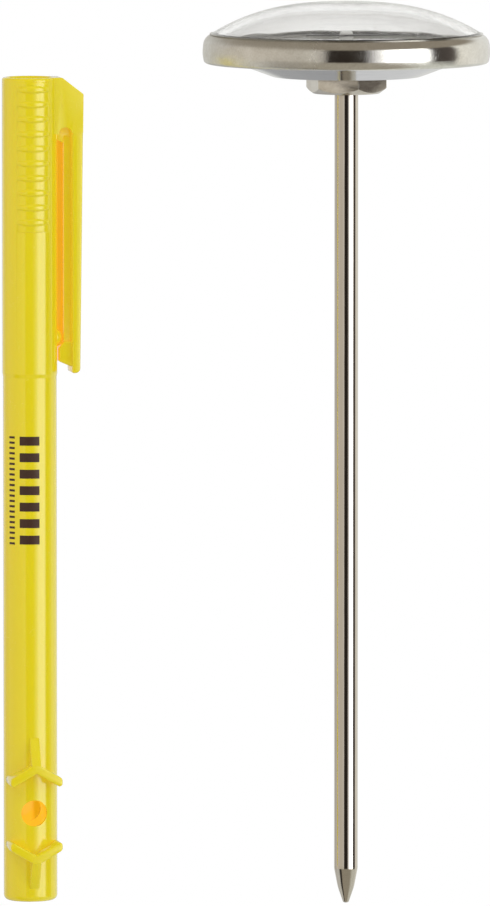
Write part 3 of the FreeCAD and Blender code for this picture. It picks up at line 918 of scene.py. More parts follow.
@dataclass
class Stem:
    """Thin tube with its point, and the nut and neck that carry the head."""

    tube: Reach = measured("stem_tube")
    point: Reach = measured("stem_tip")
    nut: Reach = measured("hex_nut")
    ring: Reach = measured("retaining_ring")
    seal: Reach = measured("neck_seal")
    wall: float = 0.25
    nib_radius: float = 0.46
    plug_depth: float = 3.0
    plug_clearance: float = 0.01
    nut_height: float = 2.44
    nut_flats: float = 11.1
    nut_corner_turn: float = 17.0
    chamfer_inset: float = 0.35
    chamfer_slope: float = 0.75
    edge_round: float = 0.09
    neck_radius: float = 4.0
    groove_depth: float = 0.4
    seal_room: float = 0.05

    def build(self, finishes: dict[str, Finish]) -> None:
        """Make the tube, the point and the nut.

        Args:
            finishes: Materials by name.
        """
        bore = self.tube.radius - self.wall
        ease = self.wall / 3
        tube = [
            (bore, self.tube.low, 0), (self.tube.radius, self.tube.low, 0),
            (self.tube.radius, self.tube.high, ease), (bore, self.tube.high, 0),
        ]
        finished(turned("stem_tube_drawn", eased(tube)), finishes["stem_steel"], "stem", "stem_steel", "stem_tube")
        finished(self.tip(bore), finishes["tip_steel"], "stem", "stem_steel", "stem_tip")
        finished(self.hex_nut(bore), finishes["nut_steel"], "stem", "nut_steel", "hex_nut")

    def tip(self, bore: float) -> Piece:
        """Ogival point with a small rounded nib, and its plug up into the tube.

        Args:
            bore: Radius of the tube's bore.

        Returns:
            The piece.
        """
        radius, start, low = self.tube.radius, self.tube.low, self.point.low
        plug, nose = bore - self.plug_clearance, bore * 0.7
        outside = [
            (0, low, 0), (self.nib_radius, low, self.nib_radius * 0.8),
            (self.nib_radius * 1.15, low + 0.35, 0.6), (radius * 0.69, start - (start - low) * 0.58, 9.0),
            (radius, start - 0.45, 2.5), (radius, start, 0),
        ]
        inside = [
            (plug, start, 0), (plug, start + self.plug_depth, self.wall), (nose, start + self.plug_depth, 0),
            (nose, self.point.high, self.wall), (0, self.point.high, 0),
        ]
        return turned("stem_point", eased([*outside, *inside], 8), closed=False)

    def hex_nut(self, bore: float) -> Piece:
        """Nut with chamfered corners and softened edges, and its grooved neck.

        Args:
            bore: Radius of the way through.

        Returns:
            The piece.
        """
        corner = self.nut_flats / 2 / math.cos(math.radians(30))
        bpy.ops.object.select_all(action="DESELECT")
        bpy.ops.mesh.primitive_cylinder_add(
            vertices=6, radius=corner * MM, depth=self.nut_height * MM, location=(0, 0, self.nut_height / 2 * MM)
        )
        nut = place(bpy.context.object, self.nut_corner_turn, (0, 0, self.nut_height / 2))
        nut.name = nut.data.name = "hex_nut_machined"
        flat = self.nut_flats / 2 - self.chamfer_inset
        wide = flat + self.nut_height / self.chamfer_slope
        cone = [(0, 0), (flat, 0), (wide, self.nut_height), (0, self.nut_height)]
        combine(nut, Cut.KEEP, turned("chamfer", cone, closed=False))
        softened(nut, self.edge_round, 3)
        inside = self.seal_ring_radius() - self.seal_room
        seat = self.seal.low - self.seal_room
        groove = [(inside, seat), (self.seal.radius + self.seal_room, seat)]
        groove += [(self.seal.radius + self.seal_room, self.nut_height + 1), (inside, self.nut_height + 1)]
        combine(nut, Cut.TAKE, turned("seal_groove", groove), turned("bore", self.column(bore, -1, self.nut.high + 1), False))
        return joined("hex_nut_machined", [nut, turned("neck", self.neck(bore))])

    def seal_ring_radius(self) -> float:
        """Inner radius of the seal in its groove."""
        return self.seal.radius - (self.seal.high - self.seal.low)

    @staticmethod
    def column(radius: float, low: float, high: float) -> list[Spot]:
        """Open outline of a plain column on the axis."""
        return [(0, low), (radius, low), (radius, high), (0, high)]

    def neck(self, bore: float) -> list[Spot]:
        """Outline of the neck, from inside the nut to above the ring's groove."""
        floor = self.neck_radius - self.groove_depth
        return eased([
            (bore, self.nut_height, 0), (self.neck_radius, self.nut_height, 0),
            (self.neck_radius, self.ring.low, 0), (floor, self.ring.low, 0),
            (floor, self.ring.high, 0), (self.neck_radius, self.ring.high, 0),
            (self.neck_radius, self.nut.high, 0.1), (bore, self.nut.high, 0.1),
        ])


# ---------------------------------------------------------------- head


@dataclass
class Head:
    """Case, dial, lens and rolled bezel."""

    case: Reach = measured("case_back")
    dial: Reach = measured("dial_plate")
    gasket: Reach = measured("lens_gasket")
    lens: Reach = measured("lens")
    bezel: Reach = measured("bezel_ring")
    seat: Reach = measured("dial_seat_ring")
    ring: Reach = measured("retaining_ring")
    sheet: float = 0.4
    neck_hole: float = 4.05
    floor_radius: float = 11.5
    floor_round: float = 1.4
    ledge_radius: float = 18.2
    bezel_wall: float = 0.6
    lip_radius: float = 21.1
    curl_radius: float = 17.6
    top_round: float = 1.85
    base_round: float = 0.6
    belly: float = 0.22
    curl_wall: float = 0.38
    dome_power: float = 2.6
    lens_thickness: float = 1.2
    lens_gap: float = 0.02
    rim_width: float = 1.3
    dial_hole: float = 1.3
    print_height: float = 0.02

    @property
    def ledge(self) -> float:
        """Level of the ledge's underside, on which the bezel is curled."""
        return self.seat.low - self.sheet

    def build(self, finishes: dict[str, Finish]) -> None:
        """Make the pieces of the head.

        Args:
            finishes: Materials by name.
        """
        finished(self.case_back(), finishes["case_steel"], "head", "case_steel", "case_back")
        finished(self.bezel_ring(), finishes["bezel_steel"], "head", "bezel_steel", "bezel_ring")
        finished(self.dome(), finishes["lens_clear"], "head", "lens_clear", "lens")
        finished(self.dial_plate(), finishes["dial_paint"], "head", "dial_paint", "dial_plate")
        scale = DialScale(self.dial.high, self.print_height)
        finished(scale.ticks(), finishes["scale_ink"], "head", "pointer_paint")
        finished(scale.numerals(), finishes["scale_ink"], "head", "pointer_paint")

    def case_back(self) -> Piece:
        """Pressed cup: flat floor, cone, ledge and wall, with eased bends."""
        rise = (self.ledge - self.case.low) / (self.ledge_radius - self.floor_radius)
        shift = self.sheet * math.tan(math.atan(rise) / 2)
        inner = self.case.radius - self.sheet
        floor = self.case.low + self.sheet
        return turned("case_back_pressed", eased([
            (self.neck_hole, self.case.low, 0.1),
            (self.floor_radius, self.case.low, self.floor_round),
            (self.ledge_radius, self.ledge, 0.3),
            (self.case.radius, self.ledge, 0.35),
            (self.case.radius, self.case.high, 0.12),
            (inner, self.case.high, 0.12),
            (inner, self.ledge + self.sheet, 0.1),
            (self.ledge_radius - shift, self.ledge + self.sheet, 0.3),
            (self.floor_radius - shift, floor, self.floor_round),
            (self.neck_hole, floor, 0.1),
        ], 6))

    def bezel_ring(self) -> Piece:
        """Rolled ring with a slightly bellied side, a lip over the lens and a curl under the ledge."""
        outer = self.bezel.radius
        inner = outer - self.bezel_wall
        base = self.ledge - self.curl_wall
        middle = (base + self.bezel.high) / 2
        corners = [
            (self.lip_radius, self.lens_rim_top(), 0),
            (inner, self.lens_rim_top(), 0.3),
            (inner, self.ledge, 0.2),
            (self.ledge_radius, self.ledge, 0),
            (self.curl_radius, self.ledge - 0.2, 0.1),
            (self.curl_radius, base - 0.08, 0.12),
            (self.curl_radius + self.bezel_wall, base, 0.2),
            (outer - self.belly, base, self.base_round),
            (outer, middle - 0.9, 3.0),
            (outer, middle - 0.3, 3.0),
            (outer - self.belly, self.bezel.high, self.top_round),
            (self.lip_radius, self.bezel.high, 0.22),
        ]
        return turned("bezel_ring_rolled", eased(corners, 8), steps=192)

    def lens_rim_top(self) -> float:
        """Level of the lens rim's upper face."""
        return self.bezel.high - self.bezel_wall

    def dome(self) -> Piece:
        """Clear dome, fullest near its edge, with a flat rim under the bezel's lip."""
        edge = self.lip_radius - self.lens_gap
        low = self.lens.low
        top = self.lens_rim_top() - self.lens_gap
        rim_inner = self.lens.radius - self.rim_width
        crown = self.lens.high
        outside = self.dome_curve(edge, crown, self.bezel.high, 30)
        inside = self.dome_curve(rim_inner, crown - self.lens_thickness, low, 30)
        rim = eased([(edge, top, 0.05), (self.lens.radius, top, 0.1), (self.lens.radius, low, 0.1), (rim_inner, low, 0)])
        return turned("lens_domed", [*outside, *rim, *reversed(inside[:-1])], closed=False, steps=160)

    def dome_curve(self, edge: float, crown: float, foot: float, steps: int) -> list[Spot]:
        """Points of the dome from its crown down to a radius.

        Args:
            edge: Radius where the curve ends.
            crown: Level on the axis.
            foot: Level at the end.
            steps: Straight runs along it.

        Returns:
            The points.
        """
        shares = [1 - (1 - step / steps) ** 1.4 for step in range(steps + 1)]
        return [(edge * share, crown - (crown - foot) * share**self.dome_power) for share in shares]

    def dial_plate(self) -> Piece:
        """Enamelled disc with a rolled edge and a hole for the hub."""
        ease = (self.dial.high - self.dial.low) / 3
        return turned("dial_plate_enamelled", eased([
            (self.dial_hole, self.dial.low, ease), (self.dial.radius, self.dial.low, ease),
            (self.dial.radius, self.dial.high, ease), (self.dial_hole, self.dial.high, ease),
        ], 4))


@dataclass
class DialScale:
    """Printed scale: ticks every two degrees from 0 to 220 and a numeral at every twenty."""

    level: float
    height: float
    zero_heading: float = 101.0
    sweep: float = 270.0
    top_reading: int = 220
    step: int = 2
    outer: float = 18.6
    lengths: tuple[float, float, float] = (1.0, 1.7, 2.5)
    widths: tuple[float, float, float] = (0.16, 0.2, 0.34)
    numeral_radius: float = 13.6
    numeral_size: float = 2.7

    def heading(self, reading: float) -> float:
        """Direction of a reading, clockwise seen from above."""
        return self.zero_heading - self.sweep * reading / self.top_reading

    def kind(self, reading: int) -> int:
        """Which tick a reading has: 0 short, 1 middle or 2 long."""
        return 2 if reading % 20 == 0 else 1 if reading % 10 == 0 else 0

    def tick(self, kind: int) -> Piece:
        """One tick of a kind, at heading 0."""
        inner = self.outer - self.lengths[kind]
        half = math.degrees(self.widths[kind] / 2 / self.outer)
        low, high = self.level - self.height, self.level + self.height
        outline = [(inner, low), (self.outer, low), (self.outer, high), (inner, high)]
        return sector(f"tick_{kind}", outline, half, 0, steps=2)

    def ticks(self) -> Piece:
        """All the ticks and the thin arc that they hang from, as one piece.

        Returns:
            The piece.
        """
        models = [self.tick(kind) for kind in range(3)]
        readings = range(0, self.top_reading + 1, self.step)
        marks = [copy_of(models[self.kind(reading)], self.heading(reading)) for reading in readings]
        low, high = self.level - self.height, self.level + self.height
        line = [(self.outer + 0.1, low), (self.outer + 0.3, low), (self.outer + 0.3, high), (self.outer + 0.1, high)]
        rim = sector("scale_arc", line, self.sweep / 2, self.zero_heading - self.sweep / 2, steps=120)
        for model in models:
            select_only(model)
            bpy.ops.object.delete()
        return joined("dial_ticks", [*marks, rim])

    def numeral(self, reading: int) -> Piece:
        """One numeral, upright towards the middle of the scale.

        Args:
            reading: The number.

        Returns:
            The piece, in place.
        """
        bpy.ops.object.select_all(action="DESELECT")
        bpy.ops.object.text_add()
        text = bpy.context.object
        text.data.body = str(reading)
        text.data.size = self.numeral_size * MM
        text.data.extrude = self.height * MM
        text.data.align_x = "CENTER"
        text.data.align_y = "CENTER"
        bpy.ops.object.convert(target="MESH")
        heading = math.radians(self.heading(reading))
        spot = (self.numeral_radius * math.cos(heading), self.numeral_radius * math.sin(heading), self.level)
        return place(bpy.context.object, self.zero_heading - self.sweep / 2 - 90, spot)

    def numerals(self) -> Piece:
        """All the numerals as one piece.

        Returns:
            The piece.
        """
        digits = joined("dial_numerals", [self.numeral(reading) for reading in range(0, self.top_reading + 1, 20)])
        select_only(digits)
        bpy.ops.object.mode_set(mode="EDIT")
        return close_up(digits)


# ---------------------------------------------------------------- pointer


@dataclass
class Pointer:
    """Stamped needle on its turned hub."""

    needle_box: Reach = measured("pointer")
    hub_box: Reach = measured("pointer_hub")
    shaft: Reach = measured("pointer_shaft")
    heading: float = 15.0
    length: float = 12.5
    tail: float = 6.4
    width: float = 1.5
    tip_width: float = 0.3
    eye_radius: float = 1.55
    shoulder_radius: float = 0.72
    ridge: float = 0.12

    def build(self, finishes: dict[str, Finish]) -> None:
        """Make the needle and the hub.

        Args:
            finishes: Materials by name.
        """
        finished(self.needle(), finishes["pointer_paint"], "pointer", "pointer_paint", "pointer")
        finished(self.hub(), finishes["hub_paint"], "pointer", "bush_brass", "pointer_hub")

    def needle(self) -> Piece:
        """Needle with a round eye, a waisted blade and a counterweight tail.

        Returns:
            The piece.
        """
        low, high = self.needle_box.low, self.needle_box.high
        depth = high - low
        wide = self.width / 2
        half = [
            (self.length, self.tip_width / 2, 0), (0.4 * self.length, wide * 0.62, 0), (0, wide, 0),
            (-self.tail * 0.55, wide * 0.55, 0.4), (-self.tail * 0.7, wide, 0.3), (-self.tail, wide, 0.35),
        ]
        mirrored = [(across, -up, radius) for across, up, radius in reversed(half)]
        blade = prism("pointer_needle", eased([*half, *mirrored], 4), depth)
        blade.rotation_euler = (math.radians(90), 0, 0)
        blade.location = (0, 0, (low + depth / 2) * MM)
        select_only(blade)
        bpy.ops.object.transform_apply(location=True, rotation=True, scale=True)
        eye = turned("eye", [(0, low), (self.eye_radius, low), (self.eye_radius, high), (0, high)], closed=False, steps=64)
        hole = [(0, low - 1), (self.shoulder_radius, low - 1), (self.shoulder_radius, high + 1), (0, high + 1)]
        combine(blade, Cut.ADD, eye)
        combine(blade, Cut.TAKE, turned("hole", hole, closed=False, steps=64))
        return place(softened(blade, depth / 5, 2, 40), self.heading)

    def hub(self) -> Piece:
        """Turned hub: foot, shoulder and domed cap over the end of the shaft."""
        bore = self.shaft.radius
        outer = self.hub_box.radius
        low, high = self.needle_box.low, self.needle_box.high
        return turned("pointer_hub_turned", eased([
            (bore, self.hub_box.low, 0), (outer, self.hub_box.low, 0.12), (outer, low, 0.04),
            (self.shoulder_radius - 0.02, low, 0), (self.shoulder_radius - 0.02, high, 0),
            (outer, high, 0.08), (outer * 0.8, self.hub_box.high, 0.3), (bore, self.hub_box.high, 0),
        ]), steps=64)


# ---------------------------------------------------------------- sheath and clip


@dataclass
class SheathShape:
    """Sizes that the sheath and its clip share, and their place beside the stem."""

    bore: float = field(default_factory=lambda: mount("sheath_bore")["dims"]["r_mm"])
    hole: float = field(default_factory=lambda: mount("wrench_hole")["dims"]["r_mm"])
    box: Reach = measured("sheath")
    clip_box: Reach = measured("pocket_clip")
    turn: float = 10.0
    wall: float = 1.1
    step: float = 0.1
    floor: float = 1.2
    clip_depth: float = 5.0
    block_reach: float = 8.16
    block_flat: float = 4.8
    block_chamfer: float = 2.6
    strip_inner: float = 6.36
    strip_low_reach: float = 7.62
    web_inner: float = 5.25
    web_depth: float = 1.6
    joint_level: float = 9.2
    block_height: float = 7.7

    @property
    def radius(self) -> float:
        """Outer radius of the barrel."""
        return self.bore + self.wall

    @property
    def length(self) -> float:
        """Length of the barrel."""
        return self.box.high - self.box.low

    @property
    def clip_length(self) -> float:
        """Level of the clip's end below the mouth."""
        return self.box.high - self.clip_box.low

    @property
    def axis(self) -> Vector:
        """Where the sheath's own origin stands, in millimetres."""
        spot = mount("sheath_bore")["pos_m"]
        return Vector((spot[0] / MM, spot[1] / MM, self.box.high))

    def strip_outer(self, level: float) -> float:
        """Reach of the clip's outer face at a level below the mouth."""
        share = (level - self.block_chamfer) / (self.clip_length - self.block_chamfer)
        return self.block_reach + (self.strip_low_reach - self.block_reach) * share

    def strip(self, top: float) -> Piece:
        """Flat outer strip of the clip, from a level down to its end, with eased edges.

        Args:
            top: Level of its upper end.

        Returns:
            The piece.
        """
        end = self.clip_length
        strip = prism("strip", eased([
            (self.strip_inner, -top, 0), (self.strip_outer(top), -top, 0),
            (self.strip_outer(end), -end, 0.75), (self.strip_inner, -end, 0.25),
        ]), self.clip_depth)
        return softened(strip, 0.32, 4, 35)

    def web(self, inner: float, top: float, bottom: float, slant: float = 0.0) -> Piece:
        """Narrow web behind the strip."""
        outer = self.strip_inner + 0.4
        outline = [(inner, -top), (outer, -top), (outer, -bottom - slant), (inner, -bottom)]
        return softened(prism("web", outline, self.web_depth), 0.12, 2)

    def stand(self, piece: Piece) -> Piece:
        """Turn a piece that was drawn about the sheath's axis and stand it in its place."""
        return place(piece, self.turn, self.axis)


@dataclass
class Sheath:
    """Moulded barrel with its finger ribs, clip block, stop nub and nut wrench."""

    shape: SheathShape
    rib_count: int = 10
    rib_pitch: float = 2.3
    rib_first: float = 1.75
    rib_half: float = 0.75
    rib_proud: float = 0.35
    rib_angle: float = 38.0
    pad_proud: float = 0.12
    pad_levels: Spot = (0.6, 24.0)
    arch_drop: float = 0.05
    gap_top: float = 9.5
    gap_slant: float = 0.8
    nub_level: float = 40.65
    nub_proud: float = 0.75
    nub_half: float = 1.3
    mouth_ease: float = 0.45
    hole_recess: float = 0.1
    wrench_from_end: float = 14.0
    wrench_apex: float = 6.45
    wrench_wall: float = 1.35
    wrench_half_width: float = 4.1
    wrench_proud: float = 2.2
    gusset: float = 1.5
    gusset_run: float = 3.9

    def build(self, finishes: dict[str, Finish]) -> None:
        """Make the moulding and the print on it.

        Args:
            finishes: Materials by name.
        """
        moulding = self.barrel()
        combine(moulding, Cut.ADD, self.pad(), self.ribs(), self.block(), self.gap_corner())
        top_strip = sliced(self.shape.strip(self.shape.block_height - 2), -self.shape.joint_level, keep_above=True)
        combine(moulding, Cut.ADD, top_strip, self.nub(), *self.wrench())
        combine(moulding, Cut.TAKE, self.bore_tool(), self.hole_tool())
        self.shape.stand(moulding)
        finished(moulding, finishes["sheath_plastic"], "sheath", "sheath_plastic", "sheath")
        marks = self.shape.stand(SheathPrint(self.shape.radius - self.shape.step).build())
        finished(marks, finishes["print_ink"], "sheath", "pointer_paint")

    def barrel(self) -> Piece:
        """Plain outside of the barrel, still solid."""
        low = self.shape.radius - self.shape.step
        end = self.shape.clip_length
        return turned("sheath_moulding", eased([
            (0, 0, 0), (self.shape.radius, 0, 0.4), (self.shape.radius, -end, 0.3),
            (low, -end - 0.6, 0.3), (low, -self.shape.length, 0.85), (0, -self.shape.length, 0),
        ]), closed=False)

    def crescent(self, name: str, proud: float, heights: Sequence[Corner]) -> Piece:
        """Disc that stands proud of the barrel towards the wrench and runs out into it at both sides.

        Args:
            name: Name of the disc.
            proud: How far it stands out in the middle.
            heights: Edge of the disc as inset, level and rounding, from its lower face to its upper one.

        Returns:
            The disc, in its place on the barrel.
        """
        spread = math.cos(math.radians(self.rib_angle))
        radius = self.shape.radius
        front = radius + proud
        shift = (front**2 - radius**2) / (2 * (front - radius * spread))
        disc = front - shift
        outline = [(0, heights[0][1], 0), *[(disc - inset, level, ease) for inset, level, ease in heights]]
        return place(turned(name, eased([*outline, (0, heights[-1][1], 0)], 3), closed=False), 0, (0, -shift, 0))

    def pad(self) -> Piece:
        """Slightly raised ground under the ribs."""
        high, low = self.pad_levels
        return self.crescent("pad", self.pad_proud, [(0, -low, 0.1), (0, -high, 0.1)])

    def ribs(self) -> Piece:
        """Row of rounded finger ribs, modelled once and copied.

        Returns:
            The ribs as one piece.
        """
        half = self.rib_half
        rise = self.rib_proud - self.pad_proud + 0.1
        edge = [(rise, -half, 0.1), (0, -half / 3, 0.3), (0, half / 3, 0.3), (rise, half, 0.1)]
        rib = place(self.crescent("rib", self.rib_proud, edge), 0, (0, 0, -self.rib_first))
        copies = [copy_of(rib, 0, (0, 0, -index * self.rib_pitch)) for index in range(1, self.rib_count)]
        return joined("ribs", [rib, *copies])

    def block(self) -> Piece:
        """Block beside the mouth that carries the clip, with the arch over the web."""
        shape = self.shape
        low = shape.joint_level
        span = (shape.strip_inner - shape.radius + 0.1) / 2
        middle = (shape.strip_inner - span, -(shape.block_height + self.arch_drop + span))
        arch = arc(middle, span, 0, 180, 14)
        outline = eased([
            (0, 0, 0), (shape.block_flat, 0, 0.4), (shape.block_reach, -shape.block_chamfer, 0.35),
            (shape.strip_outer(low - 0.6), -low + 0.6, 0), (shape.strip_inner, -low + 0.6, 0),
            *[(across, up, 0) for across, up in arch], (shape.radius - 0.6, middle[1], 0), (0, middle[1], 0),
        ], 4)
        return softened(prism("block", outline, shape.clip_depth), 0.28, 4, 35)

    def gap_corner(self) -> Piece:
        """Web between the barrel and the strip, down to the slanted top of the gap."""
        shape = self.shape
        inner = shape.radius - 0.6
        outline = [
            (inner, -shape.block_height + 1), (shape.strip_inner + 0.4, -shape.block_height + 1),
            (shape.strip_inner + 0.4, -shape.joint_level), (shape.web_inner, -shape.joint_level),
            (shape.web_inner, -self.gap_top - self.gap_slant), (inner, -self.gap_top),
        ]
        return softened(prism("gap_corner", outline, shape.web_depth), 0.1, 2, 60)

    def nub(self) -> Piece:
        """Small dome that keeps the clip's toe off the barrel."""
        radius = (self.nub_half**2 + self.nub_proud**2) / (2 * self.nub_proud)
        centre = (self.shape.radius + self.nub_proud - radius) * MM
        bpy.ops.object.select_all(action="DESELECT")
        bpy.ops.mesh.primitive_uv_sphere_add(
            segments=48, ring_count=32, radius=radius * MM, location=(centre, 0, -self.nub_level * MM)
        )
        select_only(bpy.context.object)
        bpy.ops.object.transform_apply(location=True, rotation=True, scale=True)
        return bpy.context.object

    def wrench(self) -> list[Piece]:
        """Two facing V jaws and their gussets.

        Returns:
            The pieces.
        """
        front = self.shape.radius + self.wrench_proud
        low = self.shape.radius - self.shape.step
        level = -(self.shape.length - self.wrench_from_end)
        steep = 1 / math.cos(math.radians(30))
        apex = self.wrench_apex
        outer = apex + self.wrench_wall * steep
        drop = self.wrench_half_width * math.tan(math.radians(30))
        wide = self.wrench_half_width
        pieces = []
        for side in (1, -1):
            corners = [
                (0, apex, 0), (wide, apex - drop, 0.45), (wide, outer - drop, 0.7),
                (0, outer, 0.8), (-wide, outer - drop, 0.7), (-wide, apex - drop, 0.45),
            ]
            jaw = prism("jaw", [(x, side * z) for x, z in eased(corners)], front - 1, -front)
            pieces.append(place(softened(jaw, 0.22, 3, 40), 0, (0, 0, level)))
            ramp = outer + self.gusset_run
            profile = [(front, apex + 0.3), (front, outer - 0.4), (low, ramp), (low - 0.5, ramp), (low - 0.5, apex + 0.3)]
            fin = softened(prism("gusset", [(x, side * z) for x, z in profile], self.gusset), 0.16, 3, 20)
            pieces.append(place(place(fin, -90), 0, (0, 0, level)))
        return pieces

    def bore_tool(self) -> Piece:
        """Column that hollows the barrel, flared to ease the mouth."""
        bore = self.shape.bore
        end = -self.shape.length + self.shape.floor
        ease = self.mouth_ease
        flare = [(bore, -ease, ease / 2), (bore + ease, 0, 0), (bore + ease, 1, 0), (0, 1, 0)]
        return turned("bore", eased([(0, end, 0), (bore, end, 0.6), *flare]), closed=False)

    def hole_tool(self) -> Piece:
        """Cross hole for the stem, open at the wrench and stopped just inside the far wall."""
        end = self.shape.bore + self.hole_recess
        level = -(self.shape.length - self.wrench_from_end)
        column = Stem.column(self.shape.hole, -end, self.shape.radius + 2)
        return self.lying(turned("hole", column, closed=False, steps=96), level)

    @staticmethod
    def lying(piece: Piece, level: float) -> Piece:
        """Lay a piece that stands along Z down along -Y, at a level."""
        select_only(piece)
        piece.rotation_euler = (math.radians(90), 0, 0)
        bpy.ops.object.transform_apply(location=True, rotation=True, scale=True)
        return place(piece, 0, (0, 0, level))


@dataclass
class SheathPrint:
    """Plain printed ladder of bars with a fine row of ticks beside it."""

    radius: float
    proud: float = 0.02
    facing: float = -100.0
    top: float = 55.9
    bar_count: int = 7
    bar_pitch: float = 2.58
    bar_height: float = 1.4
    bar_middle: float = 0.0
    bar_half_angle: float = 21.5
    tick_count: int = 21
    tick_pitch: float = 0.83
    tick_height: float = 0.34
    tick_middle: float = -41.0
    tick_half_angle: float = 7.5

    def mark(self, name: str, height: float, half_angle: float, side: float) -> Piece:
        """One printed mark at the top of the print.

        Args:
            name: Name of the mark.
            height: Its size along the barrel.
            half_angle: Degrees round the barrel to each side of its middle.
            side: Degrees from the middle of the print.

        Returns:
            The piece.
        """
        inner, outer = self.radius - self.proud, self.radius + self.proud
        low = -self.top - height
        outline = [(inner, low), (outer, low), (outer, -self.top), (inner, -self.top)]
        return sector(name, outline, half_angle, self.facing + side, steps=16)

    def build(self) -> Piece:
        """Make the print.

        Returns:
            The piece, about the sheath's own axis.
        """
        bar = self.mark("bar", self.bar_height, self.bar_half_angle, self.bar_middle)
        tick = self.mark("tick", self.tick_height, self.tick_half_angle, self.tick_middle)
        bars = [copy_of(bar, 0, (0, 0, -index * self.bar_pitch)) for index in range(1, self.bar_count)]
        ticks = [copy_of(tick, 0, (0, 0, -index * self.tick_pitch)) for index in range(1, self.tick_count)]
        return joined("sheath_print", [bar, *bars, tick, *ticks])


@dataclass
class PocketClip:
    """Springy clip: strip, web and toe, cut off where it meets the block, with loops of edges below the cut."""

    shape: SheathShape
    bend_length: float = 5.0
    bend_loops: int = 8
    toe_top: float = 42.3
    toe_bottom: float = 44.4
    toe_slope: float = 1.0
    toe_gap: float = 0.12
    toe_depth: float = 3.2
    flange_gap: float = 0.15
    flange_start: float = 1.6
    flange_wall: float = 0.4

    def build(self, finishes: dict[str, Finish]) -> None:
        """Make the clip, stand it beside the sheath and put its place into its mesh.

        Args:
            finishes: Materials by name.
        """
        shape = self.shape
        top = shape.joint_level
        clip = shape.strip(shape.block_height - 2)
        web = shape.web(shape.web_inner, shape.block_height - 2, self.toe_bottom)
        combine(clip, Cut.ADD, web, self.flange(), self.toe())
        sliced(clip, -top, keep_above=False)
        ringed(clip, [-top - self.bend_length * loop / self.bend_loops for loop in range(1, self.bend_loops + 1)])
        clip.name = clip.data.name = "pocket_clip_moulded"
        shape.stand(clip)
        finished(clip, finishes["sheath_plastic"], None, "sheath_plastic", "pocket_clip")
        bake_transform(clip)

    def flange(self) -> Piece:
        """Thin flange along the far side of the clip, which closes the slot from behind."""
        shape = self.shape
        inner, outer = shape.radius + self.flange_gap, shape.strip_inner + 0.4
        top, bottom = shape.joint_level + 0.3, self.toe_bottom
        outline = [(inner, -top), (outer, -top), (outer, -bottom), (inner, -bottom)]
        return softened(prism("flange", outline, self.flange_wall, self.flange_start), 0.08, 2)

    def toe(self) -> Piece:
        """Foot of the clip, which rests by the barrel under the nub."""
        shape = self.shape
        inner = shape.radius + self.toe_gap
        outer = shape.strip_inner + 0.3
        toe = prism("toe", eased([
            (outer, -self.toe_top + self.toe_slope, 0), (shape.web_inner, -self.toe_top + self.toe_slope, 0),
            (inner, -self.toe_top, 0.3), (inner, -self.toe_bottom, 0.3), (outer, -self.toe_bottom - self.toe_slope, 0),
        ]), self.toe_depth)
        return softened(toe, 0.25, 3, 35)


# ---------------------------------------------------------------- studio


@dataclass(frozen=True)
class Stretch:
    """End of a stretch of the studio's wall: its heading from the camera and its shade."""

    heading: float
    shade: Colour


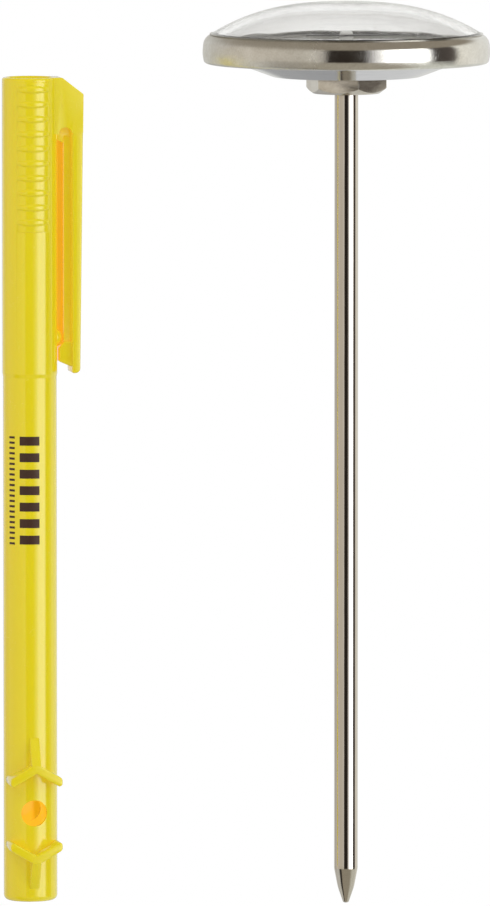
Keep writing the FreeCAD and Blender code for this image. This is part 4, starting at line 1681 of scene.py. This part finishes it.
@dataclass
class Studio:
    """Camera, floor and soft light."""

    target: tuple[float, float, float] = (-15.8, 0.0, -56.3)
    distance: float = 2000.0
    pitch: float = 5.0
    view_height: float = 141.56
    sensor: float = 36.0
    floor_level: float = -300.0
    floor_half: float = 1200.0
    fill: Colour = (1.0, 1.0, 0.995)
    fill_strength: float = 1.05
    gloss: float = 3.0
    wall: tuple[Stretch, ...] = (
        Stretch(-180, (0.25, 0.25, 0.24)), Stretch(-138, (0.24, 0.24, 0.23)), Stretch(-128, (0.18, 0.17, 0.155)),
        Stretch(-110, (0.17, 0.16, 0.145)), Stretch(-103, (0.25, 0.23, 0.20)), Stretch(-60, (0.21, 0.192, 0.163)),
        Stretch(-34, (0.21, 0.195, 0.166)), Stretch(-21, (0.25, 0.235, 0.21)), Stretch(-16, (0.008, 0.006, 0.005)),
        Stretch(14, (0.010, 0.008, 0.006)), Stretch(22, (0.22, 0.215, 0.21)), Stretch(30, (0.45, 0.445, 0.435)),
        Stretch(38, (0.95, 0.95, 0.93)), Stretch(66, (0.95, 0.95, 0.93)), Stretch(74, (0.015, 0.012, 0.01)),
        Stretch(97, (0.03, 0.025, 0.022)), Stretch(104, (0.29, 0.28, 0.25)), Stretch(180, (0.25, 0.25, 0.24)),
    )
    low_wall: tuple[Stretch, ...] = (
        Stretch(-180, (0.13, 0.13, 0.13)), Stretch(-150, (0.17, 0.17, 0.165)), Stretch(-110, (0.22, 0.22, 0.21)),
        Stretch(-78, (0.22, 0.22, 0.205)), Stretch(-64, (0.008, 0.006, 0.005)), Stretch(-50, (0.01, 0.008, 0.007)),
        Stretch(-42, (0.12, 0.108, 0.085)), Stretch(45, (0.12, 0.11, 0.088)), Stretch(75, (0.23, 0.23, 0.205)),
        Stretch(150, (0.23, 0.23, 0.215)), Stretch(180, (0.24, 0.24, 0.24)),
    )
    ceiling: Colour = (0.095, 0.083, 0.065)
    back_ceiling: Colour = (0.26, 0.26, 0.25)

    def build(self) -> None:
        """Set the stage."""
        self.camera()
        self.floor()
        self.world()
        bpy.context.scene.view_settings.view_transform = "Standard"

    def camera(self) -> None:
        """Long lens a little above the object, aimed at the middle of it."""
        tilt = math.radians(self.pitch)
        back = Vector((0, -math.cos(tilt), math.sin(tilt))) * self.distance
        bpy.ops.object.select_all(action="DESELECT")
        bpy.ops.object.camera_add(
            location=(Vector(self.target) + back) * MM, rotation=(math.radians(90) - tilt, 0, 0)
        )
        camera = bpy.context.object
        camera.data.sensor_width = self.sensor
        camera.data.lens = self.sensor * self.distance / self.view_height
        camera.data.clip_end = 100
        bpy.context.scene.camera = camera

    def floor(self) -> None:
        """Pale floor well below the object."""
        bpy.ops.object.select_all(action="DESELECT")
        bpy.ops.mesh.primitive_plane_add(size=2 * self.floor_half * MM, location=(0, 0, self.floor_level * MM))
        floor = place(bpy.context.object, 0, (0, 0, self.floor_level))
        floor.name = "studio_floor"
        material, board, shader = new_finish("studio_floor")
        cloud = board.noise(board.object_place(), 0.004, 2)
        board.wire(shader.inputs["Base Color"], board.blend(cloud, (0.70, 0.70, 0.695, 1), (0.74, 0.74, 0.735, 1)))
        shader.inputs["Roughness"].default_value = 0.9
        floor.data.materials.append(material)
        floor.visible_glossy = False

    def world(self) -> None:
        """Even soft fill, a white backdrop, and the walls that the metal mirrors."""
        world = bpy.data.worlds.new("studio")
        world.use_nodes = True
        world.node_tree.nodes.clear()
        bpy.context.scene.world = world
        board = Board(world.node_tree)
        direction = board.add("SeparateXYZ", {0: board.add("TexCoord").outputs["Generated"]})
        ahead = board.maths("MULTIPLY", direction.outputs[1], -1.0)
        heading = board.span(board.maths("ARCTAN2", direction.outputs[0], ahead), -math.pi, math.pi)
        middle, low = [self.painted(board.add("ValToRGB", {0: heading}), wall) for wall in (self.wall, self.low_wall)]
        behind = board.span(direction.outputs[1], 0.75, 0.95)
        high = board.blend(behind, (*self.ceiling, 1), (*self.back_ceiling, 1))
        room = board.blend(board.span(direction.outputs[2], 0.34, 0.5), middle, high)
        room = board.blend(board.span(direction.outputs[2], -0.24, -0.34), room, low)
        mirrored = board.add("Background", {0: room, 1: self.gloss})
        fill = board.add("Background", {0: (*self.fill, 1), 1: self.fill_strength})
        backdrop = board.add("Background", {0: (1, 1, 1, 1), 1: 1.0})
        rays = board.add("LightPath")
        even = board.maths("MAXIMUM", rays.outputs["Is Diffuse Ray"], rays.outputs["Is Transmission Ray"])
        soft = board.add("MixShader", {0: even, 1: mirrored.outputs[0], 2: fill.outputs[0]})
        seen = board.add("MixShader", {0: rays.outputs["Is Camera Ray"], 1: soft.outputs[0], 2: backdrop.outputs[0]})
        board.add("OutputWorld", {0: seen.outputs[0]})

    @staticmethod
    def painted(ramp: bpy.types.Node, wall: Sequence[Stretch]) -> Socket:
        """Lay the stretches of a wall on a colour ramp.

        Args:
            ramp: The ramp's node; it runs from behind the object round by the camera and back.
            wall: The stretches.

        Returns:
            The ramp's colour.
        """
        elements = ramp.color_ramp.elements
        elements.remove(elements[1])
        for index, stretch in enumerate(wall):
            position = stretch.heading / 360 + 0.5
            element = elements.new(position) if index else elements[0]
            element.position = position
            element.color = (*stretch.shade, 1)
        return ramp.outputs[0]


# ---------------------------------------------------------------- assembly


INSIDE: dict[str, str] = {
    "neck_seal": "seal_rubber",
    "spring_washer": "spring_steel",
    "retaining_ring": "spring_steel",
    "lower_guide_bush": "bush_brass",
    "upper_bearing_bush": "bush_brass",
    "bimetal_coil": "bimetal",
    "coil_collar": "bush_brass",
    "pointer_shaft": "shaft_steel",
    "dial_seat_ring": "seat_plastic",
    "lens_gasket": "seal_pale",
}


def dress_inside(finishes: dict[str, Finish]) -> None:
    """Give the inner pieces of the frame their finishes.

    Args:
        finishes: Materials by name.
    """
    for node, finish in INSIDE.items():
        for slot in frame["nodes"][node].material_slots:
            slot.material = finishes[finish]
        LOG.info("%s: %s", node, finish)


def main() -> None:
    """Build every sub-assembly in order."""
    logging.basicConfig(level=logging.INFO, format="%(message)s")
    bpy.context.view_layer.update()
    Studio().build()
    specs = (
        STEM_STEEL, TIP_STEEL, NUT_STEEL, CASE_STEEL, BEZEL_STEEL, SPRING_STEEL, SHAFT_STEEL, BUSH_BRASS, HUB_PAINT, BIMETAL,
        SHEATH_YELLOW, PRINT_INK, SEAL_RUBBER, SEAL_PALE, SEAT_PLASTIC, DIAL_PAINT, POINTER_PAINT, SCALE_INK, LENS_CLEAR,
    )
    finishes = {spec.name: spec.build() for spec in specs}
    Stem().build(finishes)
    Head().build(finishes)
    Pointer().build(finishes)
    shape = SheathShape()
    Sheath(shape).build(finishes)
    PocketClip(shape).build(finishes)
    dress_inside(finishes)


if __name__ == "__main__":
    main()
